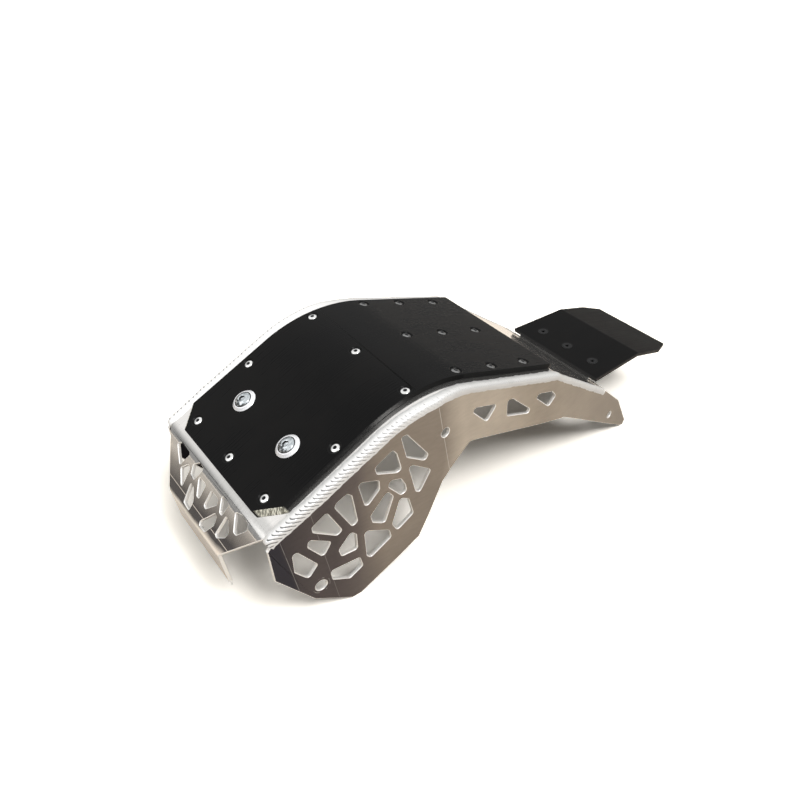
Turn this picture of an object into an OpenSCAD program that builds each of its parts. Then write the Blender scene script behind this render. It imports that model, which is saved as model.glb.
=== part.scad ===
// Skid plate for an off-road motorcycle, shown skid face up.
// Lengths are millimetres. While it is being drawn, X runs to the rear, Z is square to the flat
// of the skid face, and the origin is the corner where the slope and the flat would meet.

/* [Sheet] */
// Thickness of the aluminium main plate
plate_t = 4; // [3:0.5:5]
// Thickness of the aluminium side plates
side_t = 4; // [3:0.5:5]
// Thickness of the plastic skid cover
cover_t = 6; // [5:0.5:8]
// Thickness of the plastic linkage guard
guard_t = 5; // [4:0.5:7]

/* [Skid profile] */
// Angle between the slope and the flat
slope_angle = 43.4; // [38:0.2:48]
// Bend radius of the skid face
bend_r = 165; // [140:5:180]
// Length of the slope from the corner to the flange fold
slope_len = 200.5; // [198:0.5:206]
// Length of the flat from the corner to the tail fold
flat_len = 194; // [188:1:204]
// Angle of the front flange to the slope
flange_fold = 29; // [25:1:36]
// Length of the front flange
flange_len = 51.5; // [48:0.5:56]
// Angle of the lip to the front flange
lip_fold = 42.5; // [30:0.5:50]
// Length of the lip
lip_len = 43; // [30:1:50]
// Angle at which the tail drops from the flat
tail_fold = 18.5; // [15:0.5:21]
// Length of the tail
tail_len = 126; // [120:1:132]
// Angle at which the guard and its seat rise
guard_rise = 19.7; // [16:0.1:23]
// Length of the seat folded up under the guard
seat_len = 46; // [40:1:60]

/* [Widths] */
// Half the width over the side plates
half_w = 116; // [112:1:124]
// How far the flange's fold stands in from the side plates' outer faces
flange_inset = 11; // [9:1:18]
// How far the flange stands in where it meets the lip
lip_inset = 57.5; // [46:0.5:66]
// How far the end of the lip stands in
lip_end_inset = 53; // [44:0.5:66]
// How far the seat stands in from the sides of the guard
seat_inset = 7; // [3:0.5:19]

/* [Skid cover] */
// From the cover's front edge to the flange fold
cover_setback = 8; // [5.5:0.5:12]
// How far the cover's rear edge runs past the tail fold
cover_overhang = 2; // [0:0.5:4]
// From the side plates' outer faces to the cover's sides, on the slope
slope_margin = 17.5; // [16:0.5:24]
// From the side plates' outer faces to the cover's sides, over the flat
flat_margin = 23; // [20:0.5:28]
// How far the front edge's corners stand in from the cover's sides
cover_nose_inset = 23.5; // [8:0.5:38]
// Length of each front chamfer
cover_chamfer = 25; // [10:1:35]
// Radius along the rear edge
cover_round = 3; // [1:0.5:4]

/* [Linkage guard] */
// Length of the rising face
guard_len = 80; // [70:1:90]
// Length of the rear panel
panel_len = 69.7; // [55:1:80]
// Angle of the rear panel to the flat
panel_angle = 2.5; // [0:0.5:6]
// From the side plates' outer faces to the guard's sides, at its front edge
guard_front_margin = 42.5; // [38:0.5:50]
// From the side plates' outer faces to the guard's sides, at its ridge
guard_margin = 47; // [42:0.5:52]
// Size of the two rear corner chamfers
guard_corner = 24; // [10:1:30]

/* [Side plates] */
// Angle of the bend lines, from square to the flat
bend_slant = 27; // [20:1:34]
// Toe-in of the nose
nose_toe = 2.6; // [0:0.2:6]
// Toe-in of the shoulder behind the slope
shoulder_toe = 8.1; // [4:0.1:10]
// Toe-in beside the flat
flat_toe = 1.1; // [0:0.1:3]
// Toe-in of the rear arms
arm_toe = 10.8; // [8:0.2:13]
// Corner radius of the windows
window_r = 3; // [1:0.5:5]
// Diameter of the front mounting hole
front_hole_d = 12.7; // [8:0.1:16]
// Diameter of the middle mounting hole
middle_hole_d = 10.5; // [6:0.1:14]
// Diameter of the arm's mounting hole
arm_hole_d = 8.5; // [6:0.1:11]

/* [Corner welds] */
// Width of the bead on the main plate, from the side plate's outer face
bead_w = 12.5; // [10:0.5:14]
// Depth of the bead on the side plate along the slope
bead_side = 3.5; // [1:0.5:5]
// Height of the bead above the main plate
bead_crown = 2.3; // [1.5:0.1:3]
// Distance between ripples
ripple_pitch = 4.6; // [3:0.1:8]
// Depth of the ripples
ripple_depth = 0.5; // [0.1:0.1:1]

/* [Fasteners] */
// Diameter of the rivet heads
rivet_head_d = 9.5; // [8:0.1:11]
// Height of the rivet heads
rivet_head_h = 1.5; // [1:0.1:2]
// Diameter of the rivet shanks
rivet_d = 4.8; // [4:0.1:5.5]
// Diameter of the rivet mandrels
mandrel_d = 2.7; // [2:0.1:3]
// Diameter of the well round each rivet head
well_d = 13.5; // [12:0.1:16]
// Depth of the well round each rivet head
well_depth = 2; // [1:0.1:3]
// From the cover's front edge to the first row of rivets
first_row = 16.5; // [14:0.5:22]
// From the cover's front edge to the second row
second_row = 95.5; // [90:0.5:110]
// From the cover's front edge to the third row
third_row = 183; // [150:1:190]
// From the cover's rear edge to the last row
last_row_edge = 33.6; // [15:0.1:40]
// Spacing of the rivet rows along the flat
row_pitch = 50; // [45:1:54]
// From the sides of the cover to the outer rivets on the slope
rivet_edge = 11.2; // [10:0.1:14]
// Diameter of the front screws
screw_d = 10; // [6:1:12]
// Diameter of the front screws' heads
screw_head_d = 17.5; // [14:0.5:19]
// Diameter of the cup washers
cup_d = 26.4; // [24:0.2:30]
// Distance between the front screws
screw_gap = 91; // [80:1:110]
// From the cover's front edge to the front screws
screw_row = 65; // [50:1:80]
// Diameter of the guard's screws
guard_screw_d = 6; // [4:1:8]

/* [Hidden] */

// Clearances
hole_gap = 0.3;      // radial, round a screw
rivet_gap = 0.1;     // radial, round a rivet
past = 1;            // how far a cut runs past the face that it opens
reach = 700;         // longer than any piece
arc_step = 2;        // degrees between the points of a bend

// Directions in the side view: a heading of 0 runs to the rear, and "out" is left of it.
function along(h) = [cos(h), sin(h)];
function out(h) = [-sin(h), cos(h)];

// A point of the slope, from its distance down from the corner and its depth under the skid face
function on_slope(down, deep) = -down * along(slope_angle) - deep * out(slope_angle);
// A point under the flat, from its distance behind the corner and its depth under the skid face
function under_flat(back, deep) = [back, -deep];
// The corner where the slope and the flat meet at a depth under the skid face
function corner_at(deep) = [deep * tan(slope_angle / 2), -deep];

// A folded sheet's outer face is a chain of straight lines and arcs. The path lists its corners,
// each a point and a bend radius; a link is [start, heading, turn, length or radius].
function turn_between(a, b) = let(d = b - a) d > 180 ? d - 360 : d < -180 ? d + 360 : d;
function heading_of(path, i) = let(d = path[i + 1][0] - path[i][0]) atan2(d[1], d[0]);
function turn_at(path, i) = (i == 0 || i == len(path) - 1) ? 0
  : turn_between(heading_of(path, i - 1), heading_of(path, i));
function cut_at(path, i) = path[i][1] * tan(abs(turn_at(path, i)) / 2);
function links(path) = [for (i = [0:len(path) - 2])
  let(h = heading_of(path, i), next = turn_at(path, i + 1), total = norm(path[i + 1][0] - path[i][0]))
  each concat(
    [[path[i][0] + cut_at(path, i) * along(h), h, 0, total - cut_at(path, i) - cut_at(path, i + 1)]],
    next == 0 ? [] : [[path[i + 1][0] - cut_at(path, i + 1) * along(h), h, next, path[i + 1][1]]])];
function signed_r(link) = link[2] < 0 ? link[3] : -link[3];
function centre_of(link) = link[0] - signed_r(link) * out(link[1]);
function length_of(link) = link[2] == 0 ? link[3] : abs(link[2]) * PI / 180 * link[3];
// The point of a chain at a length from its start, as [point, heading]
function place_on(chain, s, i = 0) =
  (s > length_of(chain[i]) && i < len(chain) - 1) ? place_on(chain, s - length_of(chain[i]), i + 1)
  : chain[i][2] == 0 ? [chain[i][0] + s * along(chain[i][1]), chain[i][1]]
  : let(h = chain[i][1] + chain[i][2] * s / length_of(chain[i]))
    [centre_of(chain[i]) + signed_r(chain[i]) * out(h), h];

// Corners of an outline, each rounded by an arc where its sides leave room for one
function rounded(points, r, steps = 4) = let(n = len(points)) [for (i = [0:n - 1])
  let(
    p = points[i], a = points[(i + n - 1) % n] - p, b = points[(i + 1) % n] - p,
    half = acos(a * b / norm(a) / norm(b)) / 2,
    cut = min(r / tan(half), 0.45 * norm(a), 0.45 * norm(b)),
    mid = a / norm(a) + b / norm(b),
    centre = p + mid / norm(mid) * cut / cos(half),
    start = atan2((p + a / norm(a) * cut - centre)[1], (p + a / norm(a) * cut - centre)[0]),
    stop = atan2((p + b / norm(b) * cut - centre)[1], (p + b / norm(b) * cut - centre)[0]),
    sweep = turn_between(start, stop))
  for (k = [0:steps]) centre + cut * tan(half) * along(start + sweep * k / steps)];

// Points of the face that lies at a depth under a chain, with arcs in steps of arc_step
function face_points(chain, deep) = [for (link = chain) each (link[2] == 0
  ? [link[0] - deep * out(link[1]), link[0] - deep * out(link[1]) + link[3] * along(link[1])]
  : let(n = ceil(abs(link[2]) / arc_step)) [for (k = [1:n - 1])
      centre_of(link) + (signed_r(link) - deep) * out(link[1] + link[2] * k / n)])];
function reversed(list) = [for (i = [len(list) - 1:-1:0]) list[i]];
// A sheet between two depths under a chain, in the side view
module sheet_2d(chain, top, bottom) {
  polygon(concat(face_points(chain, top), reversed(face_points(chain, bottom))));
}

// Stands a side view up, across the plate between two distances from the middle
module across(from, to) {
  translate([0, to, 0]) rotate([90, 0, 0]) linear_extrude(to - from) children();
}
// Puts its children on a place of a chain, with their Z out of the face
module on_face(place) {
  translate([place[0][0], 0, place[0][1]]) rotate([0, -place[1], 0]) children();
}
// Mirrors its children to the other side
module other_side() {
  mirror([0, 1, 0]) children();
}
// Stands the finished plate on the ground, on the feet of its side plates
module standing() {
  translate([-(rest_front + rest_rear) / 2, 0, -ground]) rotate([0, tilt, 0]) children();
}

// Sizes that follow from the ones above
cover_front = slope_len - cover_setback;
cover_rear = flat_len + cover_overhang;
flange_w = half_w - flange_inset;
lip_w = half_w - lip_inset;
lip_end_w = half_w - lip_end_inset;
cover_slope_w = half_w - slope_margin;
cover_flat_w = half_w - flat_margin;
cover_nose_w = cover_slope_w - cover_nose_inset;
guard_front_w = half_w - guard_front_margin;
guard_w = half_w - guard_margin;
seat_w = guard_w - seat_inset;

// Chains of the three folded sheets
slope_heading = slope_angle;
flange_heading = slope_angle + flange_fold;
lip_heading = flange_heading + lip_fold;
flange_r = 24;
lip_r = 9;
fold_r = 8;
plate_bend_r = bend_r - cover_t;
fold_point = on_slope(slope_len, cover_t);
lip_point = fold_point - flange_len * along(flange_heading);
tail_point = under_flat(flat_len, cover_t);
valley_point = tail_point + tail_len * along(-tail_fold);
plate_path = [
  [lip_point - lip_len * along(lip_heading), 0],
  [lip_point, lip_r],
  [fold_point, flange_r],
  [corner_at(cover_t), plate_bend_r],
  [tail_point, fold_r],
  [valley_point, fold_r - plate_t],
  [valley_point + seat_len * along(guard_rise), 0],
];
plate_chain = links(plate_path);
// The corner welds start a little way round the flange's bend and end at the valley
weld_wrap = 8;
weld_chain = links([
  [fold_point - weld_wrap * along(flange_heading), 0], [fold_point, flange_r],
  [corner_at(cover_t), plate_bend_r], [tail_point, fold_r], [valley_point, 0],
]);
cover_chain = links([
  [on_slope(cover_front, 0), 0], [[0, 0], bend_r], [under_flat(cover_rear - cover_round, 0), 0],
]);
// The guard lies on the seat, just behind the valley
guard_start = 3;
guard_point = valley_point + guard_start * along(guard_rise) + guard_t * out(guard_rise);
ridge_point = guard_point + guard_len * along(guard_rise);
ridge_r = 14;
guard_path = [
  [guard_point, 0], [ridge_point, ridge_r], [ridge_point + panel_len * along(panel_angle), 0],
];
guard_chain = links(guard_path);

// The side plates are bent along slanted lines, so their half width depends on one distance only,
// measured square to those lines. Each entry is that distance and the half width there.
function across_bends(p) = p[0] * cos(bend_slant) + p[1] * sin(bend_slant);
nose_bend = -145;
shoulder_bend = 8.5;
flat_bend = 40;
arm_bend = 169.5;
nose_start = -reach / 2;
arm_stop = reach / 2;
shoulder_w = half_w - (flat_bend - shoulder_bend) * tan(shoulder_toe);
arm_w = shoulder_w - (arm_bend - flat_bend) * tan(flat_toe);
side_widths = [
  [nose_start, half_w + (nose_start - nose_bend) * tan(nose_toe)],
  [nose_bend, half_w],
  [shoulder_bend, half_w],
  [flat_bend, shoulder_w],
  [arm_bend, arm_w],
  [arm_stop, arm_w - (arm_stop - arm_bend) * tan(arm_toe)],
];
function side_w(p) = lookup(across_bends(p), side_widths);
function side_lean(p) = let(q = across_bends(p))
  atan(lookup(q + 0.5, side_widths) - lookup(q - 0.5, side_widths));

// Depth of the main plate's underside below the skid face
stack = cover_t + plate_t;
// The nose is laid out over a slope of this length, and stretches with the slope
nose_slope = 200.5;
function on_nose(p) = on_slope(p[0] * slope_len / nose_slope, p[1]);
// Outline of a side plate below the main plate: the nose and foot first, then the arm
nose_outline = [
  [206, stack], [206, 14], [221, 51], [209, 112.5], [183, 154.5], [173, 159], [120, 159.5],
  [90.5, 158.5], [66, 141], [36.5, 117.5], [21.5, 111.5],
];
arm_outline = [
  [77.5, 75.5], [83, 70], [93, 69], [148, 67], [187.5, 65.5], [226.5, 63], [243.5, 67.5],
  [324.5, 91.5], [382, 108], [390.5, 109], [393, 102], [358, 68],
];
foot = on_nose(nose_outline[4]);
arm_foot = under_flat(arm_outline[9][0], arm_outline[9][1]);
front_hole = on_nose([195, 102.5]);
middle_hole = under_flat(38.4, 50.5);
arm_hole = under_flat(343, 84.6);

// Windows of the nose, by distance down the slope and depth under the skid face
nose_windows = [
  [[189.5, 33], [183, 74], [198, 81], [202.5, 60.5]],
  [[172.5, 38.5], [159, 62.5], [173.5, 71], [177.5, 45.5]],
  [[143.5, 27], [144, 61.5], [150.5, 61.5], [164.5, 34], [162, 28]],
  [[118, 27.5], [116, 34], [127.5, 67.5], [134, 68.5], [134.5, 30], [131.5, 27]],
  [[139.5, 73.5], [137, 81.5], [145.5, 99.5], [161, 90.5], [159, 80.5]],
  [[150, 112.5], [153, 126], [170.5, 126.5], [183, 108], [179, 96]],
  [[104, 27], [87.5, 45.5], [92, 55.5], [113, 62]],
  [[87.5, 66.5], [86, 78.5], [108.5, 100], [117, 86], [114.5, 76.5]],
  [[129, 87], [110.5, 114], [113, 124.5], [141.5, 125.5], [143, 119]],
  [[59.5, 27], [58.5, 34.5], [63.5, 56], [68.5, 55.5], [84.5, 36.5], [82.5, 28]],
  [[79, 57.5], [69.5, 67], [69.5, 77.5], [72, 86.5], [78.5, 85.5], [83.5, 63.5]],
  [[81.5, 88.5], [75.5, 98.5], [80.5, 121.5], [103.5, 123.5], [103.5, 110.5]],
  [[45.5, 22], [40, 25], [33.5, 68], [39, 72], [52, 49]],
  [[56, 62.5], [52, 65], [40, 89], [62, 103], [64.5, 98]],
];
// Windows beside the flat, by distance behind the corner and depth under the skid face
arm_windows = [
  [[66.5, 30.5], [105.5, 29.5], [98.5, 49]],
  [[121, 27], [128.5, 26.5], [161.5, 43], [160.5, 47.5], [127.5, 46.5]],
  [[159, 26], [189.5, 25], [198, 31], [192, 43.5]],
];
// Windows of the front flange, by distance down from its fold and distance from the middle
flange_windows = [
  [[8, 78.5], [3, 71], [4, 50], [22.5, 59]],
  [[23.5, 55], [13.5, 44.5], [16.5, 40], [39, 39.5]],
  [[9, 37.5], [2, 29], [3, 19], [19.5, 26], [19.5, 34]],
  [[12.5, 20.5], [12.5, 4.5], [29, 5.5], [29, 10.5]],
  [[25.5, 28], [26.5, 20.5], [37, 12], [47.5, 12], [46.5, 25.5]],
  [[11.5, -7.5], [11.5, -21.5], [16.5, -24.5], [30, -11], [29, -6.5]],
  [[6, -25.5], [4, -33], [6, -40.5], [19.5, -38], [19.5, -33]],
  [[44.5, -12], [24.5, -28], [26, -32], [34, -33.5], [47.5, -25], [48.5, -14]],
  [[16.5, -44.5], [17.5, -49.5], [25.5, -58], [32, -56.5], [40, -45.5], [39, -41.5]],
  [[5, -54], [1, -67], [3, -77], [8, -79.5], [20.5, -69], [20.5, -64]],
];

// How the plate stands: on the feet of its side plates and the tips of its arms
tilt = atan2(arm_foot[1] - foot[1], arm_foot[0] - foot[0]) == 0 ? 0
  : atan2(arm_foot[1] - foot[1], arm_foot[0] - foot[0]);
function level_x(p) = p[0] * cos(tilt) + p[1] * sin(tilt);
ground = -foot[0] * sin(tilt) + foot[1] * cos(tilt);
lip_arc = plate_chain[1];
rest_front = level_x(centre_of(lip_arc)) - lip_r;
rest_rear = level_x(guard_path[2][0]);

// Rivet rows, by length along the skid cover from its front edge, with their distances from
// the middle. The flat's three rows stand one pitch apart.
last_row = length_of(cover_chain[0]) + length_of(cover_chain[1]) + length_of(cover_chain[2])
  + cover_round - last_row_edge;
flat_rivet_y = cover_flat_w - rivet_edge;
rows = [
  [first_row, [-1, 0, 1] * (cover_nose_w - 2)],
  [second_row, [-1, 1] * (cover_slope_w - rivet_edge)],
  [third_row, [-1, 0, 1] * (cover_slope_w - rivet_edge - 0.9)],
  [last_row - 2 * row_pitch, [-1, 0, 1] * (flat_rivet_y + 1.2)],
  [last_row - row_pitch, [-1, 0, 1] * flat_rivet_y],
  [last_row, [-1, 0, 1] * (flat_rivet_y - 2.1)],
];
blind_d = 7.6;
blind_h = 4;
module at_rivets(row) {
  on_face(place_on(cover_chain, row[0])) for (y = row[1]) translate([0, y, 0]) children();
}
module at_screw(y) {
  on_face(place_on(cover_chain, screw_row)) translate([0, y, 0]) children();
}
// The guard's screws stand in a row over the seat
guard_row = 24;
guard_screw_ys = [-44, 0, 44];
module at_guard_screws() {
  on_face(place_on(guard_chain, guard_row)) for (y = guard_screw_ys) translate([0, y, 0]) children();
}

// Drills a hole along Z from above the face to below it
module drill(d, depth) {
  translate([0, 0, -depth - past]) cylinder(d = d, h = depth + 2 * past, $fn = 48);
}

module main_plate() color([0.66, 0.65, 0.63]) standing() difference() {
  intersection() {
    across(-reach / 2, reach / 2) sheet_2d(plate_chain, 0, plate_t);
    rotate([0, -bend_slant, 0]) translate([0, 0, -reach]) linear_extrude(2 * reach) polygon(concat(
      [for (e = side_widths) [e[0], e[1] - side_t]],
      [for (e = reversed(side_widths)) [e[0], side_t - e[1]]]));
  }
  for (row = rows) at_rivets(row) drill(rivet_d + 2 * rivet_gap, stack + fold_r);
  for (y = [-1, 1] * screw_gap / 2) at_screw(y) drill(screw_d + 2 * hole_gap, stack + fold_r);
  at_guard_screws() drill(guard_screw_d + 2 * hole_gap, guard_t + plate_t + fold_r);
  // Flange: its sides run in from the side plates to the lip, and its windows
  on_face([fold_point, flange_heading]) {
    for (s = [-1, 1]) translate([0, 0, -plate_t - 30]) linear_extrude(plate_t + 60) polygon([
      [6, s * (half_w + past)], [6, s * (flange_w + 6)], [0, s * flange_w],
      [-flange_len, s * lip_w], [-flange_len - 30, s * lip_w], [-flange_len - 30, s * (half_w + past)],
    ]);
    for (w = flange_windows) translate([0, 0, -3 * plate_t]) linear_extrude(4 * plate_t)
      polygon(rounded([for (p = w) [-p[0], p[1]]], window_r * 2 / 3));
  }
  // Lip: widens to its end
  on_face([lip_point, lip_heading]) for (s = [-1, 1])
    translate([0, 0, -plate_t - 2]) linear_extrude(plate_t + 30) polygon([
      [-4, s * lip_w], [-lip_len - past, s * lip_end_w],
      [-lip_len - past, s * (half_w + past)], [-4, s * (half_w + past)],
    ]);
  // Seat: narrower than the tail
  on_face([valley_point, guard_rise]) for (s = [-1, 1])
    translate([2, s * (seat_w + reach / 4), 0]) translate([0, -reach / 4, -10 * plate_t])
      cube([reach, reach / 2, 20 * plate_t]);
}

module side_plate() color([0.66, 0.65, 0.63]) standing() difference() {
  intersection() {
    rotate([0, -bend_slant, 0]) translate([0, 0, -reach]) linear_extrude(2 * reach) polygon(concat(
      [for (e = side_widths) [e[0], -e[1]]],
      [for (e = reversed(side_widths)) [e[0], side_t - e[1]]]));
    across(-half_w - 2 * side_t, 0) difference() {
      polygon(concat(
        [for (p = nose_outline) on_nose(p)], [for (p = arm_outline) under_flat(p[0], p[1])],
        [valley_point, tail_point, corner_at(0)]));
      sheet_2d(weld_chain, -60, plate_t);
      for (w = nose_windows) polygon(rounded([for (p = w) on_nose(p)], window_r));
      for (w = arm_windows) polygon(rounded([for (p = w) under_flat(p[0], p[1])], window_r));
    }
  }
  for (hole = [[front_hole, front_hole_d], [middle_hole, middle_hole_d], [arm_hole, arm_hole_d]])
    translate([hole[0][0], -side_w(hole[0]), hole[0][1]]) rotate([0, -bend_slant, 0])
      rotate([0, 0, -side_lean(hole[0])]) rotate([90, 0, 0])
        translate([0, 0, -3 * side_t]) cylinder(d = hole[1], h = 6 * side_t, $fn = 48);
}
module side_plate_right() side_plate();
module side_plate_left() other_side() side_plate();

// A weld bead fills the corner between the two sheets. A ring is its section across the seam:
// five points that lie on the sheets, then the crown from the outer toe back to the inner one,
// which is a curve drawn towards a peak three times as high as the bead.
slope_end = length_of(weld_chain[0]) + length_of(weld_chain[1]) + length_of(weld_chain[2]);
flat_start = slope_end + length_of(weld_chain[3]);
tail_start = flat_start + length_of(weld_chain[4]) + length_of(weld_chain[5]);
weld_len = tail_start + length_of(weld_chain[6]);
weld_start = length_of(weld_chain[0]) + length_of(weld_chain[1]) / 3;
function bead_w_at(s) = lookup(s, [
  [slope_end, bead_w], [flat_start, bead_w - 1], [tail_start - 4, bead_w - 1], [tail_start + 6, bead_w * 0.6],
]);
function bead_side_at(s) = lookup(s, [
  [slope_end, bead_side], [flat_start, bead_side / 2], [tail_start, bead_side / 2], [weld_len, bead_side * 0.7],
]);
function crown_at(s) = lookup(s, [
  [slope_end, bead_crown], [flat_start, bead_crown * 0.8], [tail_start, bead_crown * 0.7],
  [tail_start + 8, bead_crown * 0.4],
]);
function ripple_at(s) = lookup(s, [
  [slope_end, ripple_depth], [flat_start, ripple_depth * 0.5], [tail_start, ripple_depth * 0.3],
  [tail_start + 8, 0],
]);
crown_steps = 5;
function ring(s, low) = let(
  place = place_on(weld_chain, s),
  foot_of = function(deep) place[0] - deep * out(place[1]),
  top_w = side_w(foot_of(0)), edge_w = side_w(foot_of(plate_t)),
  toe = plate_t + bead_side_at(s), toe_w = side_w(foot_of(toe)),
  inner = [top_w - bead_w_at(s), 0], outer = [toe_w, -toe],
  peak = [top_w + bead_w_at(s) / 8, 3 * (crown_at(s) - (low ? ripple_at(s) : 0))],
  section = concat(
    [inner, [top_w - side_t, 0], [edge_w - side_t, -plate_t], [edge_w, -plate_t], outer],
    [for (k = [1:crown_steps]) let(f = k / (crown_steps + 1))
      (1 - f) * (1 - f) * outer + 2 * f * (1 - f) * peak + f * f * inner]))
  [for (p = section) let(q = foot_of(-p[1])) [q[0], -p[0], q[1]]];

module weld() color([0.82, 0.81, 0.79]) standing() {
  count = 2 * round((weld_len - weld_start) / ripple_pitch);
  rings = [for (i = [0:count]) ring(weld_start + (weld_len - weld_start) * i / count, i % 2 == 1)];
  n = len(rings[0]);
  polyhedron(
    points = [for (r = rings) each r],
    faces = concat(
      [[for (j = [n - 1:-1:0]) j]],
      [for (i = [0:count - 1], j = [0:n - 1]) let(a = i * n + j, b = i * n + (j + 1) % n)
        each [[a, b, a + n], [b, b + n, a + n]]],
      [[for (j = [0:n - 1]) count * n + j]]));
}
module weld_right() weld();
module weld_left() other_side() weld();

module skid_cover() color([0.12, 0.12, 0.12]) standing() difference() {
  round_centre = under_flat(cover_rear - cover_round, cover_round);
  intersection() {
    across(-reach / 2, reach / 2) polygon(concat(
      face_points(cover_chain, 0), [for (h = [75:-15:0]) round_centre + cover_round * along(h)],
      [under_flat(cover_rear, cover_t)], reversed(face_points(cover_chain, cover_t))));
    nose_x = on_slope(cover_front, 0)[0];
    shoulder_x = on_slope(cover_front - cover_chamfer, 0)[0];
    bend_x = on_slope(60, 0)[0];
    half_outline = [
      [nose_x - cover_t, cover_nose_w], [nose_x, cover_nose_w], [shoulder_x, cover_slope_w],
      [bend_x, cover_slope_w - 1.5], [cover_rear / 3, cover_flat_w],
      [cover_rear - 2 * cover_round, cover_flat_w], [cover_rear + past, cover_flat_w - 2],
    ];
    translate([0, 0, -reach / 2]) linear_extrude(reach) polygon(concat(
      half_outline, [for (p = reversed(half_outline)) [p[0], -p[1]]]));
  }
  for (row = rows) at_rivets(row) {
    drill(rivet_d + 2 * rivet_gap, stack + fold_r);
    translate([0, 0, -well_depth]) cylinder(
      d1 = rivet_head_d + 1, d2 = well_d + (well_d - rivet_head_d - 1) * past / well_depth,
      h = well_depth + past, $fn = 48);
  }
  for (y = [-1, 1] * screw_gap / 2) at_screw(y) drill(screw_d + 2 * hole_gap, stack + fold_r);
}

module linkage_guard() color([0.1, 0.1, 0.1]) standing() difference() {
  intersection() {
    across(-reach / 2, reach / 2) sheet_2d(guard_chain, 0, guard_t);
    front_x = guard_point[0] - guard_t;
    end_x = guard_path[2][0][0] + guard_t;
    corner_x = guard_path[2][0][0] - guard_corner;
    half_outline = [
      [front_x, guard_front_w], [guard_point[0], guard_front_w], [ridge_point[0], guard_w],
      [corner_x, guard_w - 1], [guard_path[2][0][0], guard_w - guard_corner / 2],
      [end_x, guard_w - guard_corner / 2 - guard_t],
    ];
    translate([0, 0, -reach / 2]) linear_extrude(reach) polygon(concat(
      half_outline, [for (p = reversed(half_outline)) [p[0], -p[1]]]));
  }
  at_guard_screws() {
    drill(guard_screw_d + 2 * hole_gap, guard_t + plate_t);
    translate([0, 0, -guard_head_h - hole_gap]) cylinder(
      d1 = guard_screw_d + 2 * hole_gap, d2 = guard_head_d + 2 * hole_gap,
      h = guard_head_h + hole_gap + 0.01, $fn = 48);
  }
}

// Blind rivet: domed head in its well, shank through both sheets, and the bulb that its mandrel
// has drawn out behind the plate
module rivet() rotate_extrude($fn = 40) polygon([
  [mandrel_d / 2, -stack - blind_h], [blind_d / 2 - 0.8, -stack - blind_h],
  [blind_d / 2, -stack - blind_h * 0.6], [blind_d / 2 - 0.4, -stack - 0.6], [rivet_d / 2, -stack],
  [rivet_d / 2, -well_depth], [rivet_head_d / 2, -well_depth],
  [rivet_head_d / 2, rivet_head_h * 0.3 - well_depth],
  [rivet_head_d * 0.38, rivet_head_h * 0.8 - well_depth],
  [rivet_head_d * 0.24, rivet_head_h - well_depth], [mandrel_d / 2, rivet_head_h - well_depth],
]);
// What is left of the mandrel: the broken stem inside the rivet and the head under its bulb
module mandrel() rotate_extrude($fn = 32) polygon([
  [0, -stack - blind_h - 1.6], [mandrel_d * 0.5, -stack - blind_h - 1.6],
  [mandrel_d * 0.8, -stack - blind_h - 0.9], [mandrel_d * 0.8, -stack - blind_h],
  [mandrel_d / 2, -stack - blind_h], [mandrel_d / 2, -well_depth - 0.4], [0, -well_depth],
]);
module rivets(i) color([0.78, 0.77, 0.75]) standing() at_rivets(rows[i]) rivet();
module mandrels(i) color([0.35, 0.35, 0.36]) standing() at_rivets(rows[i]) mandrel();

// Front fixings: a domed screw in a cup washer, through both sheets into a flanged nut
cup_h = 3.2;
cup_seat = 1.2;
head_h = screw_head_d * 0.3;
nut_w = screw_d * 1.6;
nut_h = screw_d;
nut_flange_d = screw_d * 2.1;
module cup_washer(y) color([0.75, 0.75, 0.76]) standing() at_screw(y) rotate_extrude($fn = 64) polygon([
  [screw_d / 2 + hole_gap, 0], [cup_d / 2, 0], [cup_d / 2, 0.6], [cup_d / 2 - 1, 1.2],
  [screw_head_d / 2 + 1.4, cup_h], [screw_head_d / 2 + 0.5, cup_h],
  [screw_head_d / 2 + 0.3, cup_seat], [screw_d / 2 + hole_gap, cup_seat],
]);
module front_screw(y) color([0.6, 0.6, 0.62]) standing() at_screw(y) difference() {
  union() {
    translate([0, 0, cup_seat]) intersection() {
      cylinder(d = screw_head_d, h = head_h, $fn = 64);
      translate([0, 0, head_h - screw_head_d * 0.85]) sphere(screw_head_d * 0.85, $fn = 96);
    }
    translate([0, 0, -stack - nut_h - 3]) cylinder(d = screw_d, h = stack + nut_h + 3 + cup_seat, $fn = 48);
  }
  translate([0, 0, cup_seat + head_h * 0.35]) cylinder(d = screw_d * 0.69, h = head_h, $fn = 6);
}
module front_nut(y) color([0.7, 0.69, 0.64]) standing() at_screw(y) translate([0, 0, -stack]) difference() {
  union() {
    translate([0, 0, -2]) cylinder(d = nut_flange_d, h = 2, $fn = 64);
    translate([0, 0, -nut_h]) cylinder(d = nut_w / cos(30), h = nut_h - 2, $fn = 6);
  }
  translate([0, 0, -nut_h - past]) cylinder(d = screw_d, h = nut_h + 2 * past, $fn = 48);
}
module cup_washer_right() cup_washer(-screw_gap / 2);
module cup_washer_left() cup_washer(screw_gap / 2);
module front_screw_right() front_screw(-screw_gap / 2);
module front_screw_left() front_screw(screw_gap / 2);
module front_nut_right() front_nut(-screw_gap / 2);
module front_nut_left() front_nut(screw_gap / 2);

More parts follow.
